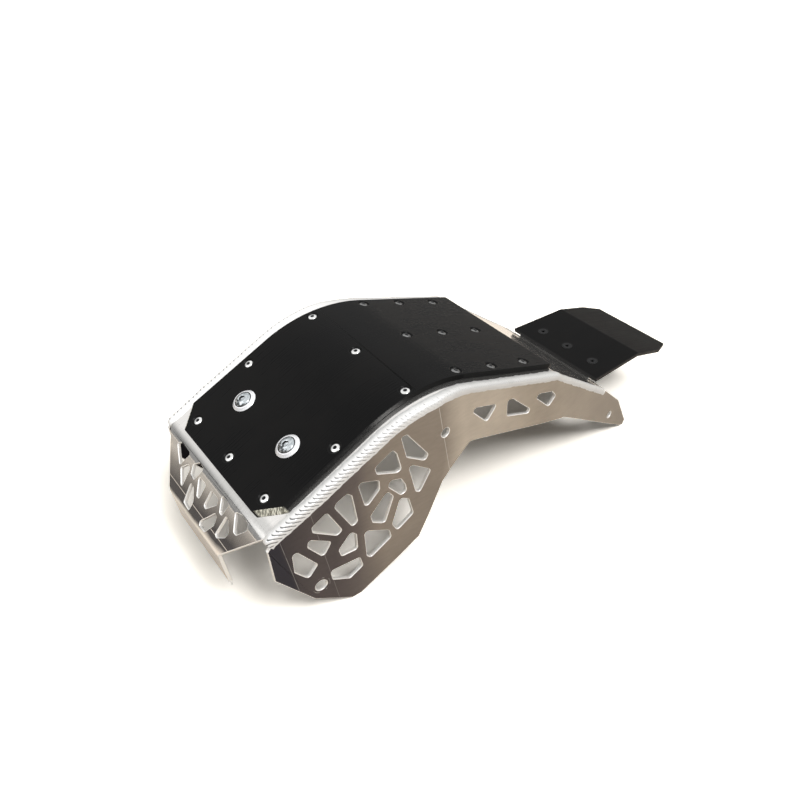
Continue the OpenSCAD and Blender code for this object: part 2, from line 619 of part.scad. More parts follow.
// The guard's fixings: countersunk screws with washers and nuts under the seat
guard_head_d = guard_screw_d * 2;
guard_head_h = guard_screw_d / 2;
guard_stack = guard_t + plate_t;
washer_t = guard_screw_d * 0.27;
guard_nut_h = guard_screw_d * 0.85;
module guard_screws() color([0.13, 0.13, 0.14]) standing() at_guard_screws() difference() {
  union() {
    translate([0, 0, -guard_head_h - 0.2])
      cylinder(d1 = guard_screw_d, d2 = guard_head_d, h = guard_head_h, $fn = 48);
    translate([0, 0, -guard_stack - washer_t - guard_nut_h - 2])
      cylinder(d = guard_screw_d, h = guard_stack + washer_t + guard_nut_h + 2 - guard_head_h, $fn = 40);
  }
  translate([0, 0, -guard_head_h * 0.7]) cylinder(d = guard_screw_d * 0.75, h = guard_head_h, $fn = 6);
}
module guard_washers() color([0.7, 0.7, 0.7]) standing() at_guard_screws()
  translate([0, 0, -guard_stack - washer_t]) difference() {
    cylinder(d = guard_screw_d * 2, h = washer_t, $fn = 48);
    translate([0, 0, -past]) cylinder(d = guard_screw_d + 2 * hole_gap, h = washer_t + 2 * past, $fn = 48);
  }
module guard_nuts() color([0.7, 0.69, 0.64]) standing() at_guard_screws()
  translate([0, 0, -guard_stack - washer_t - guard_nut_h]) difference() {
    cylinder(d = guard_screw_d * 1.67 / cos(30), h = guard_nut_h, $fn = 6);
    translate([0, 0, -past]) cylinder(d = guard_screw_d, h = guard_nut_h + 2 * past, $fn = 48);
  }

main_plate();
side_plate_right();
side_plate_left();
weld_right();
weld_left();
skid_cover();
linkage_guard();
rivets(0);  // rivets_row_1
rivets(1);  // rivets_row_2
rivets(2);  // rivets_row_3
rivets(3);  // rivets_row_4
rivets(4);  // rivets_row_5
rivets(5);  // rivets_row_6
mandrels(0);  // mandrels_row_1
mandrels(1);  // mandrels_row_2
mandrels(2);  // mandrels_row_3
mandrels(3);  // mandrels_row_4
mandrels(4);  // mandrels_row_5
mandrels(5);  // mandrels_row_6
front_screw_right();
front_screw_left();
cup_washer_right();
cup_washer_left();
front_nut_right();
front_nut_left();
guard_screws();
guard_washers();
guard_nuts();
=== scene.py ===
"""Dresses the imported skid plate: sheets with cut edges, rippled welds, turned fasteners and a stage.

Lengths in the settings are metres. The side view is worked out in millimetres, as the part was
drawn: x to the rear, z square to the flat, from the corner where the slope and the flat would meet.
"""

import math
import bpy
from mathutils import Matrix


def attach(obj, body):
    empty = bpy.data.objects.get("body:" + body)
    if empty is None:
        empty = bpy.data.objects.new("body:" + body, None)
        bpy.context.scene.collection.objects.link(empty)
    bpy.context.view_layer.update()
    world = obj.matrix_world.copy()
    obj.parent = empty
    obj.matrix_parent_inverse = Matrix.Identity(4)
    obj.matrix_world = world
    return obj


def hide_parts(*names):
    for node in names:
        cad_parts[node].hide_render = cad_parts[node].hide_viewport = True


bl_info = {
    "name": "Motorcycle skid plate",
    "version": (1, 0, 0),
    "blender": (4, 5, 0),
    "location": "View3D > Sidebar > Skid Plate",
    "description": "Dresses a folded, welded skid plate and its plastic covers",
    "category": "Object",
}

import bmesh
import bpy
import numpy as np
from bpy.props import FloatProperty, FloatVectorProperty, IntProperty, PointerProperty
from mathutils import Matrix, Vector

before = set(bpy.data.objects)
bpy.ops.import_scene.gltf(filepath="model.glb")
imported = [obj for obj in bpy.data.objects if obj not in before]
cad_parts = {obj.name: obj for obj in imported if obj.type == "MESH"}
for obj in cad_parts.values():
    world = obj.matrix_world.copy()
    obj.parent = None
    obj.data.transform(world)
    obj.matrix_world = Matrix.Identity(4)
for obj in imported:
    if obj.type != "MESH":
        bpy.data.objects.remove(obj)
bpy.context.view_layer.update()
MM = 0.001

# Sheet
PLATE_T = 4.0
SIDE_T = 4.0
COVER_T = 6.0
GUARD_T = 5.0
STACK = COVER_T + PLATE_T

# Skid profile, in millimetres and degrees
SLOPE_ANGLE = 43.4
BEND_R = 165.0
SLOPE_LEN = 200.5
FLAT_LEN = 194.0
FLANGE_FOLD = 29.0
FLANGE_LEN = 51.5
LIP_FOLD = 42.5
LIP_LEN = 43.0
TAIL_FOLD = 18.5
TAIL_LEN = 126.0
GUARD_RISE = 19.7
SEAT_LEN = 46.0
FLANGE_R = 24.0
LIP_R = 9.0
FOLD_R = 8.0
GUARD_LEN = 80.0
PANEL_LEN = 69.7
PANEL_ANGLE = 2.5
RIDGE_R = 14.0
GUARD_START = 3.0
COVER_FRONT = 192.5
COVER_REAR = 196.0
COVER_ROUND = 3.0
COVER_CHAMFER = 25.0
COVER_NOSE_W = 75.0
COVER_SLOPE_W = 98.5

# Side plates: half widths by the distance square to the bend lines
BEND_SLANT = 27.0
SIDE_Q = np.array([-350.0, -145.0, 8.5, 40.0, 169.5, 350.0])
SIDE_TOE = np.array([2.6, 0.0, 8.1, 1.1, 10.8])
HALF_W = 116.0

# Marks on the sheets: lines across the bends, lines down from the flange's fold, and a washer's ring
NOSE_LINE = -180.0
FLANGE_LINES = (6.7, 39.5)
WASHER_MARK_R = 9.5


def along(h):
    """Unit vectors that point along headings h, in degrees."""
    h = np.radians(h)
    return np.stack([np.cos(h), np.sin(h)], -1)


def out(h):
    """Unit vectors square to headings h, on their left."""
    h = np.radians(h)
    return np.stack([-np.sin(h), np.cos(h)], -1)


def on_slope(down, deep):
    """The point of the slope at a distance down from the corner and a depth under the face."""
    return -down * along(SLOPE_ANGLE) - deep * out(SLOPE_ANGLE)


def under_flat(back, deep):
    """The point of the flat at a distance behind the corner and a depth under the face."""
    return np.array([back, -deep])


def corner_at(deep):
    """Where the slope and the flat meet at a depth under the face."""
    return np.array([deep * math.tan(math.radians(SLOPE_ANGLE / 2)), -deep])


class Face:
    """The outer face of a folded sheet in the side view: straight lines joined by arcs.

    A corner of the path is cut back by r tan(turn / 2) on both sides, and the arc of radius r
    joins the two cuts.
    """

    def __init__(self, path):
        points = np.array([p for p, _ in path], float)
        radii = np.array([r for _, r in path], float)
        steps = np.diff(points, axis=0)
        heads = np.degrees(np.arctan2(steps[:, 1], steps[:, 0]))
        turns = (np.diff(heads) + 180) % 360 - 180
        cuts = np.concatenate([[0], radii[1:-1] * np.tan(np.radians(abs(turns)) / 2), [0]])
        rows = []
        for i, head in enumerate(heads):
            start = points[i] + cuts[i] * along(head)
            length = np.linalg.norm(steps[i]) - cuts[i] - cuts[i + 1]
            rows.append((*start, head, 0.0, length, 0.0))
            if i < len(turns):
                bend = points[i + 1] - cuts[i + 1] * along(head)
                r = radii[i + 1] * (1 if turns[i] < 0 else -1)
                arc = abs(math.radians(turns[i])) * radii[i + 1]
                rows.append((*bend, head, turns[i], arc, r))
        self.rows = np.array(rows)
        self.ends = np.cumsum(self.rows[:, 4])
        self.length = self.ends[-1]

    def at(self, s):
        """Points and headings at lengths s from the start.

        On a line the point is start + t along; on an arc it is centre + r out(heading).
        """
        s = np.asarray(s, float)
        i = np.clip(np.searchsorted(self.ends, s), 0, len(self.ends) - 1)
        row = self.rows[i]
        start, head, turn, length, r = row[..., :2], row[..., 2], row[..., 3], row[..., 4], row[..., 5]
        t = s - (self.ends[i] - length)
        here = head + turn * t / np.maximum(length, 1e-9)
        line = start + t[..., None] * along(head)
        arc = start + r[..., None] * (out(here) - out(head))
        return np.where((turn == 0)[..., None], line, arc), here


FLANGE_HEAD = SLOPE_ANGLE + FLANGE_FOLD
LIP_HEAD = FLANGE_HEAD + LIP_FOLD
FOLD = on_slope(SLOPE_LEN, COVER_T)
LIP = FOLD - FLANGE_LEN * along(FLANGE_HEAD)
TAIL = under_flat(FLAT_LEN, COVER_T)
VALLEY = TAIL + TAIL_LEN * along(-TAIL_FOLD)
GUARD = VALLEY + GUARD_START * along(GUARD_RISE) + GUARD_T * out(GUARD_RISE)
RIDGE = GUARD + GUARD_LEN * along(GUARD_RISE)
GUARD_END = RIDGE + PANEL_LEN * along(PANEL_ANGLE)
PLATE_FACE = Face([
    (LIP - LIP_LEN * along(LIP_HEAD), 0),
    (LIP, LIP_R),
    (FOLD, FLANGE_R),
    (corner_at(COVER_T), BEND_R - COVER_T),
    (TAIL, FOLD_R),
    (VALLEY, FOLD_R - PLATE_T),
    (VALLEY + SEAT_LEN * along(GUARD_RISE), 0),
])
WELD_WRAP = 8.0
WELD_FACE = Face([
    (FOLD - WELD_WRAP * along(FLANGE_HEAD), 0),
    (FOLD, FLANGE_R),
    (corner_at(COVER_T), BEND_R - COVER_T),
    (TAIL, FOLD_R),
    (VALLEY, 0),
])
WELD_START = WELD_FACE.ends[0] + (WELD_FACE.ends[1] - WELD_FACE.ends[0]) / 3
COVER_FACE = Face([
    (on_slope(COVER_FRONT, 0), 0), (np.zeros(2), BEND_R), (under_flat(COVER_REAR - COVER_ROUND, 0), 0),
])
GUARD_FACE = Face([(GUARD, 0), (RIDGE, RIDGE_R), (GUARD_END, 0)])

FRONT_HOLE = on_slope(195, 102.5)

# How the plate stands: level on the feet of its side plates and the tips of its arms
NOSE_FOOT = on_slope(183, 154.5)
ARM_FOOT = under_flat(390.5, 109)
TILT = math.atan2(ARM_FOOT[1] - NOSE_FOOT[1], ARM_FOOT[0] - NOSE_FOOT[0])


def level(p):
    """Turns points of the side view until the feet are level."""
    x, z = p[..., 0], p[..., 1]
    c, s = math.cos(TILT), math.sin(TILT)
    return np.stack([x * c + z * s, z * c - x * s], -1)


def lip_arc_centre():
    """The centre of the lip's bend, which is the plate's foremost point but for its radius."""
    row = PLATE_FACE.rows[1]
    return row[:2] - row[5] * out(row[2])


SHIFT = -np.array([
    (level(lip_arc_centre())[0] - LIP_R + level(GUARD_END)[0]) / 2,
    level(NOSE_FOOT)[1],
])


def standing(p, y):
    """Puts points of the side view, with their distance y from the middle, where the plate stands."""
    flat = level(p) + SHIFT
    return np.stack(np.broadcast_arrays(flat[..., 0], y, flat[..., 1]), -1) * MM


def across_bends(p):
    """Distance of points square to the side plates' bend lines."""
    a = math.radians(BEND_SLANT)
    return p[..., 0] * math.cos(a) + p[..., 1] * math.sin(a)


def side_widths():
    """Half widths at SIDE_Q: the second and third are HALF_W, and each bend leans by its toe."""
    rise = np.diff(SIDE_Q) * np.tan(np.radians(SIDE_TOE))
    return HALF_W - np.concatenate([[rise[0]], [0], np.cumsum(rise[1:])])


SIDE_W = side_widths()


def side_w(p):
    """Half width over the side plates at points of the side view."""
    return np.interp(across_bends(p), SIDE_Q, SIDE_W)


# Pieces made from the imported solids


def finish_mesh(mesh, materials, smooth=True):
    """Gives a mesh its materials and smooth faces."""
    for material in materials:
        mesh.materials.append(material)
    mesh.polygons.foreach_set("use_smooth", np.full(len(mesh.polygons), smooth))
    mesh.update()


def add_piece(name, mesh, nodes):
    """Makes the object of a piece, which rides the only body and stands for its nodes."""
    piece = bpy.data.objects.new(name, mesh)
    bpy.context.scene.collection.objects.link(piece)
    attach(piece, "root")
    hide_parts(*nodes)
    return piece


def merged_copy(node, name):
    """A copy of a node's mesh with its loose triangles joined and its flat faces made whole."""
    bm = bmesh.new()
    bm.from_mesh(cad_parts[node].data)
    bmesh.ops.remove_doubles(bm, verts=bm.verts, dist=2e-6)
    bmesh.ops.dissolve_limit(
        bm, angle_limit=math.radians(0.4), verts=bm.verts, edges=bm.edges, delimit=set()
    )
    mesh = bpy.data.meshes.new(name)
    bm.to_mesh(mesh)
    bm.free()
    return mesh


def face_centres(mesh):
    """Centres of a mesh's faces, in millimetres."""
    centres = np.zeros(len(mesh.polygons) * 3)
    mesh.polygons.foreach_get("center", centres)
    return centres.reshape(-1, 3) / MM


def drawn(centres):
    """Takes standing points back to the side view that the part was drawn in."""
    x, z = centres[:, 0] - SHIFT[0], centres[:, 2] - SHIFT[1]
    c, s = math.cos(TILT), math.sin(TILT)
    return np.stack([x * c - z * s, x * s + z * c], -1)


def depth_under(face, points):
    """Distance of points below a folded face, from the nearest of its sampled points."""
    samples, heads = face.at(np.arange(0, face.length, 0.4))
    gap = points[:, None, :] - samples[None, :, :]
    nearest = np.argmin((gap**2).sum(-1), 1)
    row = np.arange(len(points))
    return -(gap[row, nearest] * out(heads[nearest])).sum(-1)


def mark_walls(mesh, deep, thickness):
    """Gives the second material to faces whose centre lies inside the sheet's thickness."""
    walls = (deep > 0.12 * thickness) & (deep < 0.88 * thickness)
    mesh.polygons.foreach_set("material_index", walls.astype(np.int32))


def soften_edges(piece, width):
    """Breaks the edges of a sheet with a narrow bevel in the second material."""
    bevel = piece.modifiers.new("broken edges", "BEVEL")
    bevel.width = width
    bevel.segments = 2
    bevel.limit_method = "ANGLE"
    bevel.angle_limit = math.radians(35)
    bevel.use_clamp_overlap = False
    bevel.material = 1
    weighted = piece.modifiers.new("flat faces", "WEIGHTED_NORMAL")
    weighted.keep_sharp = False
    weighted.weight = 50


# Pieces worked out as surfaces


def grid_faces(rows, columns, wrap):
    """Quads of a grid of rows by columns; wrap joins the last column to the first."""
    i, j = np.meshgrid(np.arange(rows - 1), np.arange(columns if wrap else columns - 1), indexing="ij")
    here, beside = i * columns + j, i * columns + (j + 1) % columns
    return np.stack([here, beside, beside + columns, here + columns], -1).reshape(-1, 4)


def six_sided(angle):
    """How far a hexagon reaches at an angle, as a share of its corners: cos 30 / cos(angle - 30)."""
    return math.cos(math.pi / 6) / np.cos(angle % (math.pi / 3) - math.pi / 6)


def turned(profile, steps):
    """A profile of (radius, height, hexagon share) turned round its axis.

    The point at an angle is (r cos, r sin, z), where r shrinks to the hexagon by its share.
    """
    profile = np.array([(*row, 0.0)[:3] for row in profile])
    angle = np.linspace(0, 2 * math.pi, steps, endpoint=False)
    reach = 1 - profile[:, 2:] * (1 - six_sided(angle)[None, :])
    r = profile[:, :1] * reach
    z = np.broadcast_to(profile[:, 1:2], r.shape)
    points = np.stack([r * np.cos(angle), r * np.sin(angle), z], -1).reshape(-1, 3)
    return points, grid_faces(len(profile), steps, True)


def on_face(points, place, heading, y):
    """Puts points with Z out of a face at a place of the side view, y from the middle."""
    flat = place + points[:, :1] * along(heading) + points[:, 2:] * out(heading)
    return standing(flat, points[:, 1] + y)


def face_outwards(mesh, gap=0.0):
    """Joins points that lie closer than a gap, then points all faces outwards."""
    bm = bmesh.new()
    bm.from_mesh(mesh)
    if gap:
        bmesh.ops.remove_doubles(bm, verts=bm.verts, dist=gap)
    bmesh.ops.recalc_face_normals(bm, faces=bm.faces)
    bm.to_mesh(mesh)
    bm.free()


def surface_mesh(name, parts):
    """One mesh of several (points, faces) parts, with poles and seams closed and faces outwards."""
    points, faces, count = [], [], 0
    for part_points, part_faces in parts:
        points.append(part_points)
        faces.extend((part_faces + count).tolist())
        count += len(part_points)
    mesh = bpy.data.meshes.new(name)
    mesh.from_pydata(np.concatenate(points).tolist(), [], faces)
    face_outwards(mesh, 1e-7)
    return mesh


# Materials


class Value:
    """A node's output that takes part in Python sums."""

    def __init__(self, shader, socket):
        self.shader = shader
        self.socket = socket

    def _math(self, operation, *values):
        return self.shader.node("ShaderNodeMath", {"operation": operation}, *values)

    def __add__(self, other):
        return self._math("ADD", self, other)

    def __sub__(self, other):
        return self._math("SUBTRACT", self, other)

    def __rsub__(self, other):
        return self._math("SUBTRACT", other, self)

    def __mul__(self, other):
        return self._math("MULTIPLY", self, other)

    __radd__ = __add__
    __rmul__ = __mul__

    def __abs__(self):
        return self._math("ABSOLUTE", self)

    def ramp(self, low, high, start=0.0, stop=1.0):
        """Goes smoothly from start to stop while the value goes from low to high."""
        return self.shader.node(
            "ShaderNodeMapRange", {"interpolation_type": "SMOOTHSTEP"}, self, low, high, start, stop
        )

    def line_at(self, place, half_width):
        """1 on a thin line where the value is at a place, and 0 elsewhere."""
        return abs(self - place).ramp(half_width * 0.5, half_width, 1.0, 0.0)


class Shader:
    """The node tree of a material or a world, with the shaded point as a vector and as x, y and z."""

    def __init__(self, owner, coordinates="Object"):
        owner.use_nodes = True
        self.owner = owner
        self.tree = owner.node_tree
        self.tree.nodes.clear()
        if coordinates:
            self.place = self.node("ShaderNodeTexCoord", {}, output=coordinates)
            self.x, self.y, self.z = self.outputs("ShaderNodeSeparateXYZ", "XYZ", self.place)

    def node(self, kind, settings, *inputs, output=None, **named):
        """Adds a node: its settings first, then its sockets by order or by name."""
        made = self.tree.nodes.new(kind)
        for key, value in settings.items():
            if key == "stops":
                set_stops(made.color_ramp.elements, value)
            else:
                setattr(made, key, value)
        pairs = list(zip([s for s in made.inputs if s.enabled], inputs))
        pairs += [(made.inputs[key.replace("_", " ")], value) for key, value in named.items()]
        for socket, value in pairs:
            if isinstance(value, Value):
                self.tree.links.new(value.socket, socket)
            else:
                socket.default_value = value
        live = [s for s in made.outputs if s.enabled]
        if live:
            return Value(self, made.outputs[output] if output else live[0])

    def outputs(self, kind, names, *inputs):
        """Adds a node and gives several of its outputs, by name."""
        made = self.node(kind, {}, *inputs).socket.node
        return [Value(self, made.outputs[name]) for name in names]

    def field(self, heading, start=(0, 0)):
        """Millimetres along a heading of the side view from a starting point, at the shaded point.

        The heading turns by the tilt, so the distance is (x - x0) cos + (z - z0) sin.
        """
        turned_by = math.radians(heading) - TILT
        origin = standing(np.asarray(start, float), 0.0)
        c, s = math.cos(turned_by) / MM, math.sin(turned_by) / MM
        return self.x * c + self.z * s - (origin[0] * c + origin[2] * s)

    def gradient(self, value, stops):
        """A colour that goes through (value, colour) stops."""
        low, high = stops[0][0], stops[-1][0]
        share = self.node("ShaderNodeMapRange", {}, value, low, high, 0.0, 1.0)
        stops = [((place - low) / (high - low), rgb(colour)) for place, colour in stops]
        return self.node("ShaderNodeValToRGB", {"stops": stops}, share)

    def mix(self, share, low, high, blend="MIX"):
        """A colour between two colours; with MULTIPLY and a share of 1, their product."""
        low, high = [c if isinstance(c, Value) else rgb(c) for c in (low, high)]
        return self.node("ShaderNodeMix", {"data_type": "RGBA", "blend_type": blend}, share, low, high)

    def noise(self, scale, detail=3.0, turn=(0, 0, 0)):
        """Noise between 0 and 1, of one scale, or of one for each axis so that its grain runs."""
        place = self.place
        if isinstance(scale, tuple):
            settings = {"vector_type": "POINT"}
            place, scale = self.node("ShaderNodeMapping", settings, place, (0, 0, 0), turn, scale), 1.0
        return self.node(
            "ShaderNodeTexNoise", {}, Vector=place, Scale=scale, Detail=detail, Roughness=0.55
        )

    def surface(self, colour, rough, bump=None, metallic=0.0, specular=0.5):
        """Joins a Principled shader to the output and gives the material.

        rough is a mask and the roughness where it is 0.3 and 0.7. bump is a height, its strength
        and its distance in millimetres.
        """
        mask, *levels = rough
        sockets = {"Base_Color": colour, "Metallic": metallic, "Specular_IOR_Level": specular}
        if bump:
            height, strength, distance = bump
            sockets["Normal"] = self.node(
                "ShaderNodeBump", {}, Strength=strength, Distance=distance * MM, Height=height
            )
        roughness = mask.ramp(0.3, 0.7, *levels)
        made = self.node("ShaderNodeBsdfPrincipled", {}, Roughness=roughness, **sockets)
        self.node("ShaderNodeOutputMaterial", {}, made)
        return self.owner


def set_stops(elements, stops):
    """Fills a colour ramp with (position, colour) stops."""
    elements[0].position, elements[0].color = stops[0]
    elements[-1].position, elements[-1].color = stops[-1]
    for position, colour in stops[1:-1]:
        elements.new(position).color = colour


def rgb(colour):
    """A colour as a shader takes it."""
    return (*tuple(colour)[:3], 1.0)


def new_material(name, coordinates="Object"):
    """The shader of an empty material."""
    return Shader(bpy.data.materials.get(name) or bpy.data.materials.new(name), coordinates)


def side_sheet(looks):
    """Satin sheet of the side plates, with bend lines and painted reflection and shade: warm and bright
    at the arms, dark towards the nose, near black before its first line.
    """
    sh = new_material("side sheet")
    q = sh.field(BEND_SLANT)
    deep = sh.field(BEND_SLANT - 90)
    wander = (sh.noise(9.0, 2.0) - 0.5) * 40
    # Painted reflection and shade: the tone along the plate, a little lighter lower down, stands in for
    # what the satin sheet reflects.
    wide = sh.gradient(q + wander + (deep - 70) * 0.2, [
        (-178, looks.nose_aluminium), (-145, looks.deep_shade_aluminium), (-125, looks.deep_shade_aluminium),
        (-98, looks.shaded_aluminium), (-66, looks.aluminium), (6, looks.aluminium),
        (36, looks.lit_aluminium), (300, looks.lit_aluminium),
    ])
    arms = sh.gradient(q + wander * 0.3, [
        (38, looks.lit_aluminium), (80, looks.lit_aluminium), (125, looks.arm_aluminium),
        (330, looks.aluminium),
    ])
    tone = sh.mix(q.ramp(38, 44), wide, arms)
    # Painted shade: near black at the nose before its first line.
    tone = sh.mix((q + wander * 0.1).ramp(-184, -177, 1.0, 0.0), tone, looks.black_shade_aluminium)
    streaks = sh.noise((70, 70, 330), 3.0, (0, -0.22, 0))
    cloud = sh.noise(26.0, 4.0)
    grain = sh.noise(1500.0, 2.0)
    shade = (streaks * 0.35 + cloud * 0.45 + grain * 0.2).ramp(0.25, 0.75, 0.86, 1.14)
    broken = sh.noise(34.0, 2.0).ramp(0.42, 0.5)
    marks = q.line_at(NOSE_LINE, 0.42) * broken * 0.2 + q.line_at(SIDE_Q[1], 0.4) * 0.12
    marks = marks + q.line_at(SIDE_Q[2], 0.42) * 0.4 + washer_mark(sh, FRONT_HOLE) * 0.3
    colour = sh.mix(marks, sh.mix(1.0, tone, shade, "MULTIPLY"), looks.cut_edge)
    return sh.surface(colour, (grain * 0.4 + streaks * 0.6, 0.3, 0.42), (streaks, 0.06, 0.1), 0.7)


def washer_mark(sh, centre):
    """A faint ring that a washer has left round a hole, broken by noise: 1 where the distance from
    the centre is the washer's radius."""
    across, up = sh.field(0, centre), sh.field(90, centre)
    distance = sh.node("ShaderNodeMath", {"operation": "SQRT"}, across * across + up * up)
    return distance.line_at(WASHER_MARK_R, 0.5) * sh.noise(160.0, 2.0).ramp(0.45, 0.6)


def main_sheet(looks):
    """Bright rolled sheet of the main plate, with etched lines across its flange, and painted
    reflection and shade down the flange: pale at the fold, darker in its middle, near black at its end.
    """
    sh = new_material("main sheet")
    down = sh.field(FLANGE_HEAD + 180, FOLD)
    on_flange = abs(sh.field(FLANGE_HEAD - 90, FOLD)).ramp(5.5, 8.0, 1.0, 0.0)
    grain = sh.noise((26, 500, 26), 4.0)
    cloud = sh.noise((14, 20, 14))
    wander = (sh.noise(30.0, 2.0) - 0.5) * 8
    # Painted reflection and shade down the flange, from the fold to the lip.
    painted_flange_light = sh.gradient(down + wander - sh.y * 60, [
        (-14, looks.plate), (-2, looks.fold), (10, looks.fold), (20, looks.flange),
        (38, looks.flange_shade), (47, looks.flange_shade), (53, looks.plate),
    ])
    tone = sh.mix(on_flange, looks.plate, painted_flange_light)
    shade = (grain * 0.3 + cloud * 0.5).ramp(0.2, 0.7, 0.92, 1.06)
    first, second = [down.line_at(line, 0.45) for line in FLANGE_LINES]
    colour = sh.mix(1.0, tone, shade, "MULTIPLY")
    colour = sh.mix((first + second) * on_flange * 0.75, colour, looks.cut_edge)
    return sh.surface(colour, (grain, 0.11, 0.16), (grain, 0.03, 0.06), 0.95)


def cut_edge(looks):
    """Bright walls and broken edges of the cut sheet, with fine cutting marks."""
    sh = new_material("cut edge")
    marks = sh.noise((1400, 260, 1400), 2.0)
    colour = sh.mix(marks.ramp(0.3, 0.7), looks.cut_edge, (0.99, 0.98, 0.96))
    return sh.surface(colour, (marks, 0.35, 0.5), (marks, 0.12, 0.08), 0.6)


def weld_metal(looks):
    """Near-white bead with painted shade in the grooves between its ripples, darker towards the rear
    and in random patches.
    """
    sh = new_material("weld bead")
    groove = sh.node("ShaderNodeAttribute", {"attribute_name": "groove"}, output="Fac")
    frost = sh.noise(700.0, 4.0)
    # Darker in random patches and towards the rear.
    dimmed = sh.noise(60.0).ramp(0.5, 0.8, 0.0, 0.3) + sh.field(0).ramp(-20, 70) * 0.7
    colour = sh.mix(dimmed, looks.weld, looks.bead_dim)
    # Painted shade: the groove attribute darkens the hollows between the ripples.
    colour = sh.mix((groove + (frost - 0.5) * 0.2).ramp(0.14, 0.6), colour, looks.groove)
    return sh.surface(colour, (frost, 0.32, 0.5), (frost, 0.2, 0.1), 0.25)


def cover_sheet(looks):
    """Black plastic sheet of the skid cover: satin, with faint scuffs along it."""
    sh = new_material("cover plastic")
    scuffs = sh.noise((12, 480, 12), 4.0, (0, 0, 0.25))
    cloud = sh.noise(16.0)
    colour = sh.mix(cloud.ramp(0.35, 0.7), looks.cover, looks.cover_haze)
    colour = sh.mix(scuffs.ramp(0.66, 0.78, 0.0, 0.25), colour, (0.02, 0.019, 0.018))
    rough = (scuffs * 0.5 + cloud * 0.5, 0.24, 0.34)
    return sh.surface(colour, rough, (sh.noise(2600.0, 2.0), 0.05, 0.04), specular=0.07)


def sawn_plastic(looks):
    """Walls and broken edges of the cover: dark and smooth, but pale and ribbed where the saw cut
    its two front corners off, with painted shade between the ribs."""
    sh = new_material("sawn plastic")
    down = sh.field(SLOPE_ANGLE + 180)
    lean = (COVER_SLOPE_W - COVER_NOSE_W) / COVER_CHAMFER
    beyond = abs(sh.y) * 1000 - COVER_NOSE_W - (COVER_FRONT - down) * lean
    start = COVER_FRONT - COVER_CHAMFER
    corner = down.ramp(start - 1, start + 2) * beyond.ramp(-3, -2)
    corner = corner * down.ramp(COVER_FRONT - 4, COVER_FRONT - 1, 1.0, 0.0)
    teeth = sh.noise((650, 650, 60), 2.0)
    # Painted shade in the hollows between the ribs.
    pale = sh.mix(teeth.ramp(0.4, 0.6), looks.sawn_rib_shade, looks.sawn)
    colour = sh.mix(corner, looks.cover_edge, pale)
    return sh.surface(colour, (teeth, 0.3, 0.45), (teeth, 0.3, 0.2), specular=0.1)


def guard_sheet(looks):
    """Black plastic sheet of the linkage guard."""
    sh = new_material("guard plastic")
    cloud = sh.noise(18.0)
    scuffs = sh.noise((14, 420, 14), 4.0)
    colour = sh.mix(cloud.ramp(0.35, 0.7), looks.guard, looks.cover_haze)
    rough = (scuffs * 0.5 + cloud * 0.5, 0.32, 0.42)
    return sh.surface(colour, rough, (sh.noise(1800.0), 0.08, 0.05), specular=0.05)


def guard_edge(looks):
    """Planed walls and broken edges of the guard."""
    sh = new_material("guard edge")
    planing = sh.noise((300, 300, 40))
    colour = sh.mix(planing.ramp(0.35, 0.7), looks.guard, looks.cover_edge)
    return sh.surface(colour, (planing, 0.34, 0.48), (planing, 0.1, 0.08), specular=0.2)


def turned_metal(name, colour, dark, metallic, rough):
    """Metal of a fastener: fine turning marks, with dirt in the hollows of a broader noise."""
    sh = new_material(name)
    fine = sh.noise(900.0)
    tone = sh.mix(sh.noise(240.0).ramp(0.5, 0.75, 0.0, 0.6), colour, dark)
    return sh.surface(tone, (fine, rough * 0.8, rough * 1.25), (fine, 0.12, 0.06), metallic)


def socket_steel(looks):
    """Blue-grey steel of the front screws, with painted shade, broken by noise, on the side of the head
    that points to the nose.
    """
    sh = new_material("screw steel")
    centre, heading = COVER_FACE.at(SCREW_ROW)
    down = sh.field(float(heading) + 180, centre)
    fine, patch = sh.noise(1100.0), sh.noise(420.0)
    # Painted shade on the side of the head that points to the nose, broken by noise.
    in_shade = (down + (patch - 0.5) * 16).ramp(1.5, 4.5) * patch.ramp(0.38, 0.55)
    tone = sh.mix(patch.ramp(0.4, 0.7), looks.steel, looks.steel_shade)
    tone = sh.mix(in_shade * 0.85, tone, looks.hollow_shade)
    return sh.surface(tone, (fine, 0.18, 0.3), (fine, 0.2, 0.08), 0.9)


def rivet_metal(looks):
    """White metal of the rivet heads, darkened on the flat as painted shade of their wells, and a
    little in random patches.
    """
    sh = new_material("rivet head")
    fine = sh.noise(900.0)
    # Painted shade: the rivets on the flat are darker, as in shaded wells.
    dimmed = sh.field(0).ramp(20, 60) * 0.8 + sh.noise(300.0).ramp(0.5, 0.75, 0.0, 0.2)
    colour = sh.mix(dimmed, looks.rivet, looks.rivet_shade)
    return sh.surface(colour, (fine, 0.18, 0.28), (fine, 0.12, 0.06), 0.9)


def painted_hollow_shade(looks):
    """Painted shade inside the mouths of rivets and cup washers and round the front screws, mottled at
    random.
    """
    sh = new_material("hollow_shade")
    mottle = sh.noise(900.0)
    colour = sh.mix(mottle.ramp(0.4, 0.75), looks.hollow_shade, looks.mandrel)
    return sh.surface(colour, (mottle, 0.45, 0.6), metallic=0.3)


# Settings


def span(name, default, description, low=0.0, high=0.2):
    """A length in metres."""
    return FloatProperty(
        name=name, description=description, default=default, min=low, max=high,
        unit="LENGTH", subtype="DISTANCE", precision=5,
    )


def tint(name, default, description, high=1.0):
    """A colour."""
    return FloatVectorProperty(
        name=name, description=description, default=default, size=3, min=0.0, max=high, subtype="COLOR",
    )


def strength(name, default, description, high):
    """The strength of a light."""
    return FloatProperty(name=name, description=description, default=default, min=0.0, max=high)


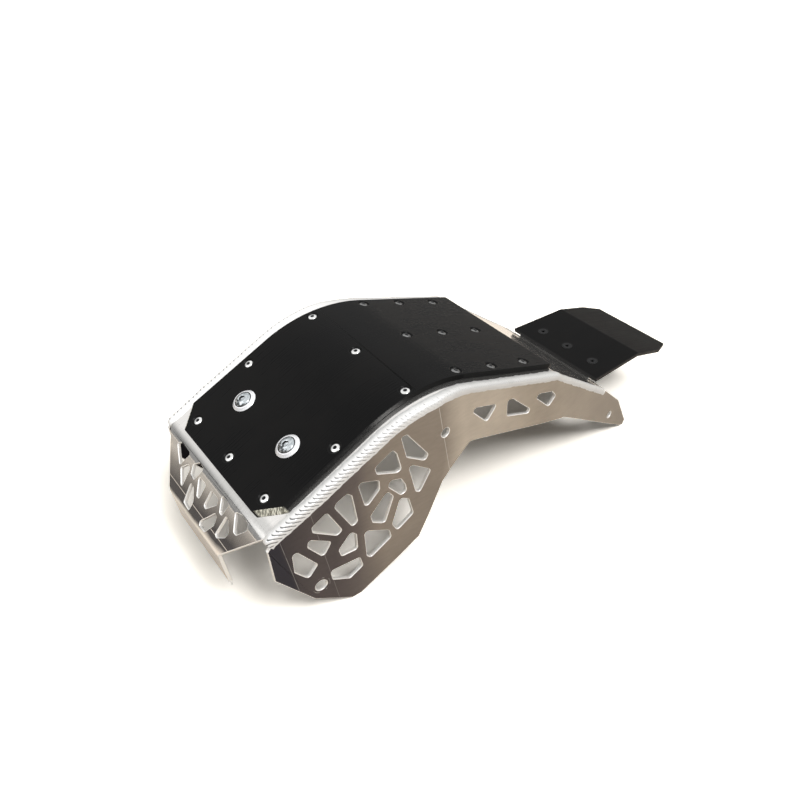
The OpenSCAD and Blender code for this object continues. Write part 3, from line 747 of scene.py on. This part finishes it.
class SkidLooks(bpy.types.PropertyGroup):
    """Colours of the finishes, with painted reflection and shade in some of them."""

    # The side plates' colours are painted reflection and shade along the plate: near black at the nose,
    # dark before the shoulder, bright and warm behind it.
    aluminium: tint("Aluminium", (0.27, 0.235, 0.20), "Side plates")
    lit_aluminium: tint("Lit aluminium", (0.50, 0.45, 0.385), "Side plates behind their shoulder")
    arm_aluminium: tint("Arm aluminium", (0.38, 0.335, 0.28), "Side plates at the middle of the arms")
    shaded_aluminium: tint("Shaded aluminium", (0.125, 0.107, 0.102), "Side plates before the shoulder")
    deep_shade_aluminium: tint("Deep shade aluminium", (0.078, 0.066, 0.067), "Side plates at the nose")
    nose_aluminium: tint("Nose aluminium", (0.05, 0.043, 0.047), "Side plates behind their first line")
    black_shade_aluminium: tint("Black shade aluminium", (0.022, 0.021, 0.031), "The nose before its first line")
    plate: tint("Plate", (0.88, 0.86, 0.83), "Main plate")
    # Fold, flange and the flange's end are painted reflection and shade down the front flange.
    fold: tint("Fold", (0.66, 0.65, 0.63), "Bend of the front flange")
    flange: tint("Flange", (0.31, 0.305, 0.30), "Middle of the front flange")
    flange_shade: tint("Flange shade", (0.075, 0.075, 0.082), "Shaded end of the front flange")
    cut_edge: tint("Cut edge", (0.93, 0.92, 0.89), "Walls and broken edges of the sheet")
    weld: tint("Weld", (0.97, 0.965, 0.955), "Crests of the beads")
    # Painted shade in the grooves between the ripples.
    groove: tint("Groove", (0.09, 0.09, 0.09), "Grooves between the ripples")
    # Darker patches, and the beads towards the rear.
    bead_dim: tint("Dim bead", (0.66, 0.65, 0.63), "Duller patches of the beads")
    cover: tint("Cover", (0.0045, 0.0045, 0.0046), "Skid cover")
    cover_haze: tint("Cover haze", (0.0065, 0.0062, 0.006), "Greyer patches of the plastic")
    cover_edge: tint("Cover edge", (0.006, 0.006, 0.006), "Walls of the plastic")
    guard: tint("Guard", (0.0045, 0.0045, 0.0046), "Linkage guard")
    sawn: tint("Sawn plastic", (0.95, 0.92, 0.78), "Pale ribs of the sawn corners")
    # Painted shade between the ribs of the sawn corners.
    sawn_rib_shade: tint("Sawn rib shade", (0.2, 0.19, 0.15), "Hollows between the ribs")
    bright: tint("Bright steel", (0.93, 0.93, 0.95), "Cup washers")
    steel: tint("Steel", (0.66, 0.70, 0.72), "Front screws")
    steel_shade: tint("Steel shade", (0.36, 0.40, 0.42), "Duller patches of the front screws")
    rivet: tint("Rivet", (0.90, 0.90, 0.89), "Rivet heads")
    # Painted shade: the rivet heads on the flat, the mouths of the rivets with the recesses round the
    # front screws, and the near black mandrels deep in the bores.
    rivet_shade: tint("Shaded rivet", (0.12, 0.12, 0.12), "Rivet heads on the flat")
    hollow_shade: tint("Hollow shade", (0.012, 0.012, 0.013), "Shade inside the rivets and round the screws")
    mandrel: tint("Mandrel", (0.05, 0.05, 0.055), "Broken mandrels")
    zinc: tint("Zinc", (0.66, 0.63, 0.54), "Nuts")
    black_oxide: tint("Black oxide", (0.006, 0.006, 0.0065), "The guard's screws")


class SkidEdges(bpy.types.PropertyGroup):
    """Widths of the broken edges."""

    metal: span("Sheet edge", 0.0008, "Broken edge of the aluminium", 0.0, 0.0015)
    plastic: span("Plastic edge", 0.0007, "Broken edge of the plastic", 0.0, 0.002)


class SkidWeld(bpy.types.PropertyGroup):
    """The corner welds."""

    width: span("Width", 0.0125, "Bead on the main plate", 0.01, 0.014)
    side: span("Side", 0.0035, "Bead on the side plate along the slope", 0.001, 0.005)
    crown: span("Crown", 0.0023, "Height above the main plate", 0.0015, 0.003)
    pitch: span("Pitch", 0.0054, "Distance between ripples", 0.003, 0.008)
    depth: span("Depth", 0.0005, "Depth of the ripples", 0.0001, 0.001)
    slant: span("Slant", 0.0095, "How far a ripple trails to the rear at its lower toe", 0.0, 0.02)
    wander: span("Wander", 0.0004, "How far the toes wander", 0.0, 0.001)
    step: span("Step", 0.0005, "Distance between the sections of the mesh", 0.0003, 0.003)


class SkidFasteners(bpy.types.PropertyGroup):
    """Sizes of the rivets and screws."""

    rivet_head: span("Rivet head", 0.0095, "Diameter of a rivet head", 0.008, 0.011)
    rivet_rise: span("Rivet rise", 0.0015, "Height of a rivet head", 0.001, 0.002)
    screw_head: span("Screw head", 0.0175, "Diameter of a front screw's head", 0.014, 0.019)
    cup: span("Cup washer", 0.0264, "Diameter of a cup washer", 0.024, 0.03)
    steps: IntProperty(name="Steps", description="Sides of a turned piece", default=72, min=24, max=144)


class SkidStage(bpy.types.PropertyGroup):
    """The floor, the light and the camera."""

    floor: tint("Floor", (0.22, 0.20, 0.18), "The floor as the light between things finds it")
    shown: tint("Shown floor", (1.6, 1.53, 1.42), "The floor as the camera sees it", 4.0)
    mirrored: tint("Mirrored floor", (0.95, 0.85, 0.74), "The floor as the metal shows it")
    horizon: strength("Horizon", 0.05, "Light from the horizon", 2.0)
    zenith: strength("Zenith", 0.75, "Light from above", 3.0)
    dim: strength("Dim walls", 0.4, "The low part of the walls, as the metal shows it", 1.0)
    key: strength("Key light", 2.3, "The soft sun on the near side", 10.0)
    fill: FloatProperty(
        name="Fill lamp", description="Power of the lamp before the nose", default=4.0, min=0.0,
        max=200.0, subtype="POWER", unit="POWER",
    )
    lens: FloatProperty(name="Lens", description="Focal length", default=36.58, min=10.0, max=200.0)


# Rivet rows: length along the cover from its front edge, then distances from the middle
ROW_PITCH = 50.0
LAST_ROW = COVER_FACE.ends[1] + 96.7
RIVET_ROWS = [
    (16.5, (-73.0, 0.0, 73.0)),
    (95.5, (-87.3, 87.3)),
    (183.0, (-86.4, 0.0, 86.4)),
    (LAST_ROW - 2 * ROW_PITCH, (-83.0, 0.0, 83.0)),
    (LAST_ROW - ROW_PITCH, (-81.8, 0.0, 81.8)),
    (LAST_ROW, (-79.7, 0.0, 79.7)),
]
WELL_DEPTH = 2.0
RIVET_D = 4.8
MANDREL_D = 2.7
BLIND_D = 7.6
BLIND_H = 4.0
SCREW_ROW = 65.0
SCREW_GAP = 91.0
SCREW_D = 10.0
CUP_H = 3.2
CUP_SEAT = 1.2
GUARD_ROW = 24.0
GUARD_SCREW_YS = (-44.0, 0.0, 44.0)
GUARD_SCREW_D = 6.0

# Stage, in metres: the floor lies a little below the feet
FLOOR_Z = -0.0002
FLOOR_RADII = (0.02, 9.0)
FLOOR_RINGS, FLOOR_SIDES = 12, 96
KEY_SPOT = (0.1, -1.25, 1.7)
KEY_ANGLE = 0.4
FILL_SPOT = (-1.5, 0.6, 1.2)
FILL_SIZE = 1.2
CAMERA_RIGHT = Vector((0.8130, -0.5820, -0.0165))
CAMERA_DOWN = Vector((-0.3567, -0.4755, -0.8042))
CAMERA_SPOT = (-0.48324, -0.5981, 0.65768)


def dress_sheet(name, node, materials, depth, thickness, edge):
    """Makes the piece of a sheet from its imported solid; depth gives how deep points lie in it."""
    mesh = merged_copy(node, name)
    finish_mesh(mesh, materials)
    mark_walls(mesh, depth(face_centres(mesh)), thickness)
    soften_edges(add_piece(name, mesh, [node]), edge)


class SKID_OT_sheets(bpy.types.Operator):
    """Makes the main plate and the two side plates"""

    bl_idname = "skid.sheets"
    bl_label = "Aluminium sheets"

    def execute(self, context):
        looks, edge = context.scene.skid_looks, context.scene.skid_edges.metal
        cut = cut_edge(looks)
        dress_sheet(
            "plate_sheet", "main_plate", [main_sheet(looks), cut],
            lambda points: depth_under(PLATE_FACE, drawn(points)), PLATE_T, edge,
        )
        sheet = side_sheet(looks)
        for side in ("right", "left"):
            dress_sheet(
                f"side_sheet_{side}", f"side_plate_{side}", [sheet, cut],
                lambda points: side_w(drawn(points)) - abs(points[:, 1]), SIDE_T, edge,
            )
        return {"FINISHED"}


class SKID_OT_plastics(bpy.types.Operator):
    """Makes the skid cover and the linkage guard"""

    bl_idname = "skid.plastics"
    bl_label = "Plastic covers"

    def execute(self, context):
        looks, edge = context.scene.skid_looks, context.scene.skid_edges.plastic
        dress_sheet(
            "cover_sheet", "skid_cover", [cover_sheet(looks), sawn_plastic(looks)],
            lambda points: depth_under(COVER_FACE, drawn(points)), COVER_T, edge,
        )
        dress_sheet(
            "guard_sheet", "linkage_guard", [guard_sheet(looks), guard_edge(looks)],
            lambda points: depth_under(GUARD_FACE, drawn(points)), GUARD_T, edge,
        )
        return {"FINISHED"}


def bead(weld, sign):
    """A bead as a section carried along the corner, and the depth of its grooves.

    Across the section f goes from the outer toe to the inner one, on the curve
    (1 - f)^2 outer + 2 f (1 - f) peak + f^2 inner. The peak drops in a groove, which lies where
    s - slant (2 (0.62 - f))^1.3 is a whole number of pitches, so that it trails to the rear
    towards the outer toe.
    """
    width, side, crown, pitch = [v / MM for v in (weld.width, weld.side, weld.crown, weld.pitch)]
    depth, slant, wander, step = [v / MM for v in (weld.depth, weld.slant, weld.wander, weld.step)]
    length = WELD_FACE.length
    count = int((length - WELD_START) / step)
    s = np.linspace(WELD_START, length, count)
    place, heading = WELD_FACE.at(s)
    slope_end, flat_start, tail_start = WELD_FACE.ends[2], WELD_FACE.ends[3], WELD_FACE.ends[5]

    def foot(deep):
        return place - np.asarray(deep)[..., None] * out(heading)

    rng = np.random.default_rng(7)
    phases = rng.uniform(0, 2 * math.pi, (2, 5))
    waves = np.array([0.11, 0.19, 0.31, 0.53, 0.83])
    wobble = np.sin(s[None, :, None] * waves + phases[:, None, :]).sum(-1) * wander / 2
    ease = np.clip(np.minimum((s - WELD_START) / 7, (length - s) / 5), 0, 1)
    rounding = np.sqrt(1 - (1 - ease) ** 2)
    steady = [slope_end, flat_start, tail_start, tail_start + 8]
    bead_w = wobble[0] + np.interp(
        s, [WELD_START, WELD_START + 12, slope_end, flat_start, tail_start - 4, tail_start + 6],
        [width * 0.7, width, width, width - 1, width - 1, width * 0.6],
    )
    bead_side = wobble[1] * 0.8 + np.interp(
        s, [slope_end, flat_start, tail_start, length], [side, side / 2, side / 2, side * 0.7]
    )
    high = np.interp(s, steady, [crown, crown * 0.8, crown * 0.7, crown * 0.4])
    high *= 0.25 + 0.75 * rounding
    deep_ripple = np.interp(s, steady, [depth, depth * 0.5, depth * 0.3, depth * 0.12])
    top_w, edge_w = side_w(foot(np.zeros(count))), side_w(foot(np.full(count, PLATE_T)))
    toe = PLATE_T + bead_side
    toe_w = side_w(foot(toe))
    corners = (
        (top_w - bead_w, 0), (top_w - SIDE_T, 0), (edge_w - SIDE_T, -PLATE_T), (edge_w, -PLATE_T),
        (toe_w, -toe),
    )
    base = np.stack([np.stack(np.broadcast_arrays(*corner), -1) for corner in corners], 1)
    f = np.linspace(0, 1, 27)[1:-1]
    beat = rng.normal(0, 0.1, int(length / pitch) + 4)
    drift = np.interp(s / pitch, np.arange(len(beat)), beat)
    trail = slant / pitch * np.clip(2 * (0.62 - f), 0, 1.24) ** 1.3
    phase = (s / pitch + drift)[:, None] - trail[None, :]
    fine = (s / (pitch * 0.43) + 2.1 * drift)[:, None] - 0.5 * trail[None, :]
    share = np.interp(s, [slope_end + 20, flat_start + 20], [0.0, 1.0])[:, None]
    scales = (1 - abs(np.sin(math.pi * phase))) ** 2
    scales *= np.interp(f, [0.03, 0.12, 0.6, 0.82], [0, 1, 1, 0])
    across = 0.9 * (1 - abs(np.sin(math.pi * fine))) ** 1.6
    across *= np.interp(f, [0.05, 0.3, 0.8, 0.95], [0, 1, 1, 0])
    groove = (1 - share) * scales + share * across
    peak_x = (top_w + bead_w / 8)[:, None]
    peak_z = 3 * (high[:, None] - deep_ripple[:, None] * groove)
    outer, inner = base[:, 4], base[:, 0]
    a, b, c = (1 - f) ** 2, 2 * f * (1 - f), f**2
    crown_points = np.stack([
        a * outer[:, :1] + b * peak_x + c * inner[:, :1],
        a * outer[:, 1:] + b * peak_z + c * inner[:, 1:],
    ], -1)
    section = np.concatenate([base, crown_points], 1)
    flat = place[:, None, :] + section[..., 1:] * out(heading)[:, None, :]
    points = standing(flat, sign * section[..., 0])
    columns = section.shape[1]
    faces = grid_faces(count, columns, True)
    # Strength of the painted shade in the grooves, fainter down the slope and on the flat.
    fading = np.interp(s, [WELD_START, slope_end * 0.6, flat_start], [1.0, 0.8, 0.45])[:, None]
    depths = np.concatenate([np.zeros((count, 5)), groove * fading], 1)
    return points.reshape(-1, 3), faces, depths.reshape(-1), columns


class SKID_OT_welds(bpy.types.Operator):
    """Makes the two rippled corner welds"""

    bl_idname = "skid.welds"
    bl_label = "Corner welds"

    def execute(self, context):
        material = weld_metal(context.scene.skid_looks)
        for side, sign in (("right", -1), ("left", 1)):
            points, faces, depths, columns = bead(context.scene.skid_weld, sign)
            last = len(points) - columns
            caps = [list(range(columns)), list(range(last, last + columns))]
            mesh = bpy.data.meshes.new(f"bead_{side}")
            mesh.from_pydata(points.tolist(), [], faces.tolist() + caps)
            groove = mesh.attributes.new("groove", "FLOAT", "POINT")
            groove.data.foreach_set("value", depths.astype(np.float32))
            face_outwards(mesh)
            finish_mesh(mesh, [material])
            mesh.set_sharp_from_angle(angle=math.radians(60))
            add_piece(f"bead_{side}", mesh, [f"weld_{side}"])
        return {"FINISHED"}


def arc_profile(centre_r, centre_z, r, start, stop, steps):
    """Points of an arc in a profile, from one angle to another, in degrees."""
    a = np.radians(np.linspace(start, stop, steps))
    return [(centre_r + r * math.cos(t), centre_z + r * math.sin(t)) for t in a]


def under(top, rows):
    """Rows of a turned profile that are given by their depths under a level."""
    return [(r, top - deep, *hexagon) for r, deep, *hexagon in rows]


def add_turned(name, node, profile, steps, seat, ys, materials, dark=(), sharp=38):
    """Makes a piece of like turned solids, at a seat in the side view and at distances ys from the
    middle. The faces that begin at the rows in dark get the second material."""
    points, faces = turned(profile, steps)
    mesh = surface_mesh(name, [(on_face(points, *seat, y), faces) for y in ys])
    finish_mesh(mesh, materials)
    row = np.arange(len(mesh.polygons)) // steps % (len(profile) - 1)
    mesh.polygons.foreach_set("material_index", np.isin(row, dark).astype(np.int32))
    mesh.set_sharp_from_angle(angle=math.radians(sharp))
    add_piece(name, mesh, [node])


class SKID_OT_rivets(bpy.types.Operator):
    """Makes the blind rivets and their broken mandrels"""

    bl_idname = "skid.rivets"
    bl_label = "Blind rivets"

    def execute(self, context):
        looks, sizes = context.scene.skid_looks, context.scene.skid_fasteners
        head, rise = sizes.rivet_head / MM / 2, sizes.rivet_rise / MM
        bore, blind = MANDREL_D / 2, BLIND_D / 2
        dome = [(head * math.sin(a), -WELL_DEPTH + rise * (0.25 + 0.75 * math.cos(a) ** 0.8))
                for a in np.radians([88, 76, 66, 56, 46, 38, 31])]
        rivet = [
            *under(-STACK, [
                (bore, BLIND_H), (blind - 0.8, BLIND_H), (blind - 0.2, BLIND_H * 0.85),
                (blind, BLIND_H * 0.6), (blind - 0.1, BLIND_H * 0.35), (blind - 0.5, 0.5),
                (RIVET_D / 2, 0),
            ]),
            (RIVET_D / 2, -WELL_DEPTH), (head, -WELL_DEPTH), *dome,
            *under(rise - WELL_DEPTH, [
                (bore + 0.75, 0.02), (bore + 0.35, 0.12), (bore + 0.05, 0.5), (bore, 0.9),
            ]),
            (bore, -STACK - BLIND_H),
        ]
        mandrel = [
            *under(-STACK - BLIND_H, [
                (0, 1.6), (bore, 1.6), (bore * 1.5, 1.2), (bore * 1.6, 0.8), (bore * 1.6, 0), (bore, 0),
            ]),
            *under(-WELL_DEPTH, [(bore, 0.5), (bore * 0.86, 0.3), (bore * 0.5, 0.12), (0, 0)]),
        ]
        # The mouth of each rivet takes the hollow material: painted shade.
        mouth = [i for i, row in enumerate(rivet) if i > 8 and row[0] < head * 0.45]
        bright = [rivet_metal(looks), painted_hollow_shade(looks)]
        # The mandrels are near black: painted shade deep in the rivets' bores.
        stem = [turned_metal("mandrel", looks.mandrel, (0.02, 0.02, 0.02), 0.8, 0.45)]
        for i, (s, ys) in enumerate(RIVET_ROWS, 1):
            for kind, slot, profile, steps, materials, dark in (
                ("rivets", "rivet_aluminium", rivet, 48, bright, mouth),
                ("mandrels", "mandrel_steel", mandrel, 24, stem, ()),
            ):
                seat = COVER_FACE.at(s)
                add_turned(
                    f"{kind}_{i}", f"{kind}_row_{i}", profile, steps, seat, ys, materials, dark, 50
                )
        return {"FINISHED"}


class SKID_OT_front_screws(bpy.types.Operator):
    """Makes the two front screws with their cup washers and flanged nuts"""

    bl_idname = "skid.front_screws"
    bl_label = "Front screws"

    def execute(self, context):
        looks, sizes = context.scene.skid_looks, context.scene.skid_fasteners
        r, cup_r, bolt = sizes.screw_head / MM / 2, sizes.cup / MM / 2, SCREW_D / 2
        gap = 0.3
        cup = [
            (bolt + gap, 0), (cup_r - 0.3, 0), (cup_r, 0.25), (cup_r, 0.7), (cup_r - 0.35, 1.05),
            (cup_r - 1.0, 1.3), (r + 2.6, 2.5), (r + 1.9, CUP_H - 0.25), (r + 1.3, CUP_H),
            (r + 0.8, CUP_H - 0.1), (r + 0.5, CUP_H - 0.5), (r + 0.3, CUP_SEAT), (bolt + gap, CUP_SEAT),
            (bolt + gap, 0),
        ]
        head_h = 2 * r * 0.3
        crown = 2 * r * 0.85
        lift = CUP_SEAT + head_h - crown
        socket = SCREW_D * 0.69 / 2
        rim, mouth = [math.degrees(math.acos(min(1.0, reach / crown))) for reach in (r, socket + 0.9)]
        edge_z = lift + math.sqrt(crown**2 - r**2)
        thread = [(bolt - 0.45 * (i % 2), -STACK - 2 - i * 0.6) for i in range(18)]
        head = [
            (0, thread[-1][1] - 0.4), (bolt - 0.9, thread[-1][1] - 0.4), *reversed(thread),
            (bolt, -STACK), (bolt, CUP_SEAT), (r - 0.3, CUP_SEAT), (r, CUP_SEAT + 0.3),
            (r, edge_z - 0.25), *arc_profile(0, lift, crown, rim + 1.5, mouth, 12),
            (socket + 0.5, lift + crown * math.sin(math.radians(mouth)) - 0.05, 0.6),
            (socket + 0.1, CUP_SEAT + head_h - 1.0, 1.0), (socket, CUP_SEAT + head_h * 0.35 + 0.2, 1.0),
            (socket - 0.2, CUP_SEAT + head_h * 0.35, 1.0), (socket * 0.5, CUP_SEAT + head_h * 0.3, 0.5),
            (0, CUP_SEAT + head_h * 0.22),
        ]
        # Painted shade: the head's side inside the cup and two rows of its socket take the hollow
        # material.
        in_shade = [i for i, (reach, z, *_) in enumerate(head)
                 if CUP_SEAT <= z < edge_z - 0.3 and reach > r - 0.4]
        in_shade += [len(head) - 5, len(head) - 4]
        corner = SCREW_D * 1.6 / 2 / math.cos(math.pi / 6)
        flange = SCREW_D * 1.05
        nut = under(-STACK, [
            (bolt, 0), (flange - 0.3, 0), (flange, 0.3), (flange, 1.4), (flange - 0.6, 2),
            (corner * 0.99, 2.4, 1.0), (corner, 2.8, 1.0), (corner, SCREW_D - 1.4, 1.0),
            (corner * 0.93, SCREW_D - 0.4, 0.6), (corner * 0.86, SCREW_D), (bolt + 0.6, SCREW_D),
            (bolt, SCREW_D - 0.6), (bolt, 0),
        ])
        hollow_shade = painted_hollow_shade(looks)
        bright = turned_metal("washer steel", looks.bright, (0.88, 0.88, 0.9), 0.3, 0.3)
        zinc = turned_metal("zinc", looks.zinc, (0.4, 0.37, 0.3), 0.9, 0.35)
        kinds = (
            # The cup's rows 9 to 11, round its inner lip, take the hollow material: painted shade.
            ("cup", "cup_washer", "washer_steel", cup, [bright, hollow_shade], [9, 10, 11]),
            ("dome_screw", "front_screw", "screw_steel", head, [socket_steel(looks), hollow_shade], in_shade),
            ("flange_nut", "front_nut", "nut_steel", nut, [zinc], ()),
        )
        seat, steps = COVER_FACE.at(SCREW_ROW), sizes.steps
        for side, y in (("right", -SCREW_GAP / 2), ("left", SCREW_GAP / 2)):
            for kind, node, slot, profile, materials, dark in kinds:
                add_turned(
                    f"{kind}_{side}", f"{node}_{side}", profile, steps, seat, [y], materials, dark
                )
        return {"FINISHED"}


class SKID_OT_guard_screws(bpy.types.Operator):
    """Makes the screws, washers and nuts that hold the linkage guard"""

    bl_idname = "skid.guard_screws"
    bl_label = "Guard screws"

    def execute(self, context):
        looks = context.scene.skid_looks
        r, head_r, head_h = GUARD_SCREW_D / 2, GUARD_SCREW_D, GUARD_SCREW_D / 2
        stack = GUARD_T + PLATE_T
        washer_t, nut_h = GUARD_SCREW_D * 0.27, GUARD_SCREW_D * 0.85
        tip = -stack - washer_t - nut_h - 2
        socket = GUARD_SCREW_D * 0.375
        thread = [(r - 0.3 * (i % 2), tip + 0.6 + i * 0.45) for i in range(12)]
        screw = [
            (0, tip), (r - 0.5, tip), *thread, (r, -stack), (r, -head_h - 0.2), (head_r - 0.1, -0.35),
            (head_r - 0.15, -0.2), (head_r - 0.5, -0.18), (socket + 0.35, -0.18, 0.4),
            (socket, -0.5, 1.0), (socket, -head_h * 0.7, 1.0), (0, -head_h * 0.8),
        ]
        washer = under(-stack, [
            (r + 0.3, 0), (r * 2 - 0.15, 0), (r * 2, 0.15), (r * 2, washer_t - 0.2),
            (r * 2 - 0.2, washer_t), (r + 0.3, washer_t), (r + 0.3, 0),
        ])
        corner = GUARD_SCREW_D * 1.67 / 2 / math.cos(math.pi / 6)
        nut = under(-stack - washer_t, [
            (r, 0), (corner * 0.9, 0), (corner * 0.95, 0.2, 0.6), (corner, 0.6, 1.0),
            (corner, nut_h - 0.8, 1.0), (corner * 0.94, nut_h - 0.25, 0.6), (corner * 0.86, nut_h),
            (r + 0.4, nut_h), (r, nut_h - 0.4), (r, 0),
        ])
        black = turned_metal("black oxide", looks.black_oxide, (0.005, 0.005, 0.005), 0.5, 0.35)
        plain = turned_metal("plain washer", looks.steel, (0.4, 0.4, 0.4), 0.9, 0.3)
        zinc = turned_metal("plain nut", looks.zinc, (0.4, 0.37, 0.3), 0.9, 0.35)
        seat = GUARD_FACE.at(GUARD_ROW)
        for name, node, slot, profile, material in (
            ("guard_fixings", "guard_screws", "black_steel", screw, black),
            ("guard_rings", "guard_washers", "washer_steel", washer, plain),
            ("guard_hex_nuts", "guard_nuts", "nut_steel", nut, zinc),
        ):
            add_turned(name, node, profile, 48, seat, GUARD_SCREW_YS, [material])
        return {"FINISHED"}


def seen_directly(sh):
    """1 for rays from the camera, from metal and through glass, and 0 for the light on the object.

    A ray that has left a matt surface carries light to the object, so it counts as 0 too.
    """
    seen, metal, clear, matt = sh.outputs("ShaderNodeLightPath", (
        "Is Camera Ray", "Is Glossy Ray", "Is Transmission Ray", "Diffuse Depth",
    ))
    clamped = {"operation": "ADD", "use_clamp": True}
    direct = matt.ramp(0.25, 0.75, 1.0, 0.0)
    return sh.node("ShaderNodeMath", clamped, seen + metal, clear) * direct, metal


class SKID_OT_stage(bpy.types.Operator):
    """Makes the floor, the sky, the lamps and the camera"""

    bl_idname = "skid.stage"
    bl_label = "Stage"

    def execute(self, context):
        scene, stage = context.scene, context.scene.skid_stage
        scene.view_settings.view_transform = "Standard"

        # Floor: a wide disc on a grid of radius and angle
        angle = np.linspace(0, 2 * math.pi, FLOOR_SIDES, endpoint=False)
        radius = np.linspace(*FLOOR_RADII, FLOOR_RINGS)[:, None]
        grid = np.broadcast_arrays(radius * np.cos(angle), radius * np.sin(angle), FLOOR_Z)
        rings = grid_faces(FLOOR_RINGS, FLOOR_SIDES, True)[:, ::-1]
        mesh = bpy.data.meshes.new("floor")
        mesh.from_pydata(
            np.stack(grid, -1).reshape(-1, 3).tolist(), [], rings.tolist() + [list(range(FLOOR_SIDES))]
        )
        sh = new_material("floor", None)
        seen, metal = seen_directly(sh)
        real = sh.node("ShaderNodeBsdfDiffuse", {}, rgb(stage.floor))
        shown = sh.node("ShaderNodeBsdfDiffuse", {}, sh.mix(metal, stage.shown, stage.mirrored))
        sh.node("ShaderNodeOutputMaterial", {}, sh.node("ShaderNodeMixShader", {}, seen, real, shown))
        finish_mesh(mesh, [sh.owner], False)
        floor = bpy.data.objects.new("floor", mesh)
        scene.collection.objects.link(floor)

        # Sky: white where the camera sees it, dimmer low down for the metal, and a soft dome of light
        world = bpy.data.worlds.get("sky") or bpy.data.worlds.new("sky")
        scene.world = world
        sh = Shader(world, "Generated")
        seen, metal = seen_directly(sh)
        low, high = [(grey, grey, grey * 0.98) for grey in (stage.horizon, stage.zenith)]
        light = sh.node("ShaderNodeBackground", {}, sh.mix(sh.z.ramp(0.3, 1.0), low, high), 1.0)
        wall = sh.z.ramp(0.25, 0.55, 1.0, 0.0) * metal
        tone = sh.mix(wall, (1.0, 1.0, 1.0), (stage.dim, stage.dim, stage.dim))
        white = sh.node("ShaderNodeBackground", {}, tone, 1.0)
        sh.node("ShaderNodeOutputWorld", {}, sh.node("ShaderNodeMixShader", {}, seen, light, white))

        for name, kind, power, measure, size, spot in (
            ("key lamp", "SUN", stage.key, "angle", KEY_ANGLE, KEY_SPOT),
            ("fill lamp", "AREA", stage.fill, "size", FILL_SIZE, FILL_SPOT),
        ):
            data = bpy.data.lights.new(name, kind)
            data.energy = power
            setattr(data, measure, size)
            lamp = bpy.data.objects.new(name, data)
            lamp.location = spot
            lamp.rotation_euler = Vector(spot).to_track_quat("Z", "Y").to_euler()
            scene.collection.objects.link(lamp)

        # Camera, by its right, down and forward directions
        forward = CAMERA_RIGHT.cross(CAMERA_DOWN)
        turn = Matrix((CAMERA_RIGHT, -CAMERA_DOWN, -forward)).transposed().to_quaternion()
        data = bpy.data.cameras.new("camera")
        data.sensor_width = 36.0
        data.lens = stage.lens
        data.clip_start = 0.01
        camera = bpy.data.objects.new("camera", data)
        camera.rotation_mode = "QUATERNION"
        camera.rotation_quaternion = turn.normalized()
        camera.location = CAMERA_SPOT
        scene.collection.objects.link(camera)
        scene.camera = camera
        return {"FINISHED"}


class SKID_PT_panel(bpy.types.Panel):
    """Lists the settings and the steps"""

    bl_idname = "SKID_PT_panel"
    bl_label = "Skid Plate"
    bl_space_type = "VIEW_3D"
    bl_region_type = "UI"
    bl_category = "Skid Plate"

    def draw(self, context):
        for name in GROUPS:
            group = getattr(context.scene, name)
            box = self.layout.box()
            for key in group.__annotations__:
                box.prop(group, key)
        for operator in OPERATORS:
            self.layout.operator(operator.bl_idname)


GROUPS = {
    "skid_looks": SkidLooks,
    "skid_edges": SkidEdges,
    "skid_weld": SkidWeld,
    "skid_fasteners": SkidFasteners,
    "skid_stage": SkidStage,
}
OPERATORS = (
    SKID_OT_sheets, SKID_OT_plastics, SKID_OT_welds, SKID_OT_rivets, SKID_OT_front_screws,
    SKID_OT_guard_screws, SKID_OT_stage,
)


def register():
    """Registers the classes and hangs the settings on the scene."""
    for cls in (*GROUPS.values(), *OPERATORS, SKID_PT_panel):
        bpy.utils.register_class(cls)
    for key, group in GROUPS.items():
        setattr(bpy.types.Scene, key, PointerProperty(type=group))


def unregister():
    """Takes the settings and the classes away again."""
    for key in GROUPS:
        delattr(bpy.types.Scene, key)
    for cls in reversed((*GROUPS.values(), *OPERATORS, SKID_PT_panel)):
        bpy.utils.unregister_class(cls)


def main():
    register()
    bpy.ops.skid.stage()
    bpy.ops.skid.sheets()
    bpy.ops.skid.plastics()
    bpy.ops.skid.welds()
    bpy.ops.skid.rivets()
    bpy.ops.skid.front_screws()
    bpy.ops.skid.guard_screws()


if __name__ == "__main__":
    main()
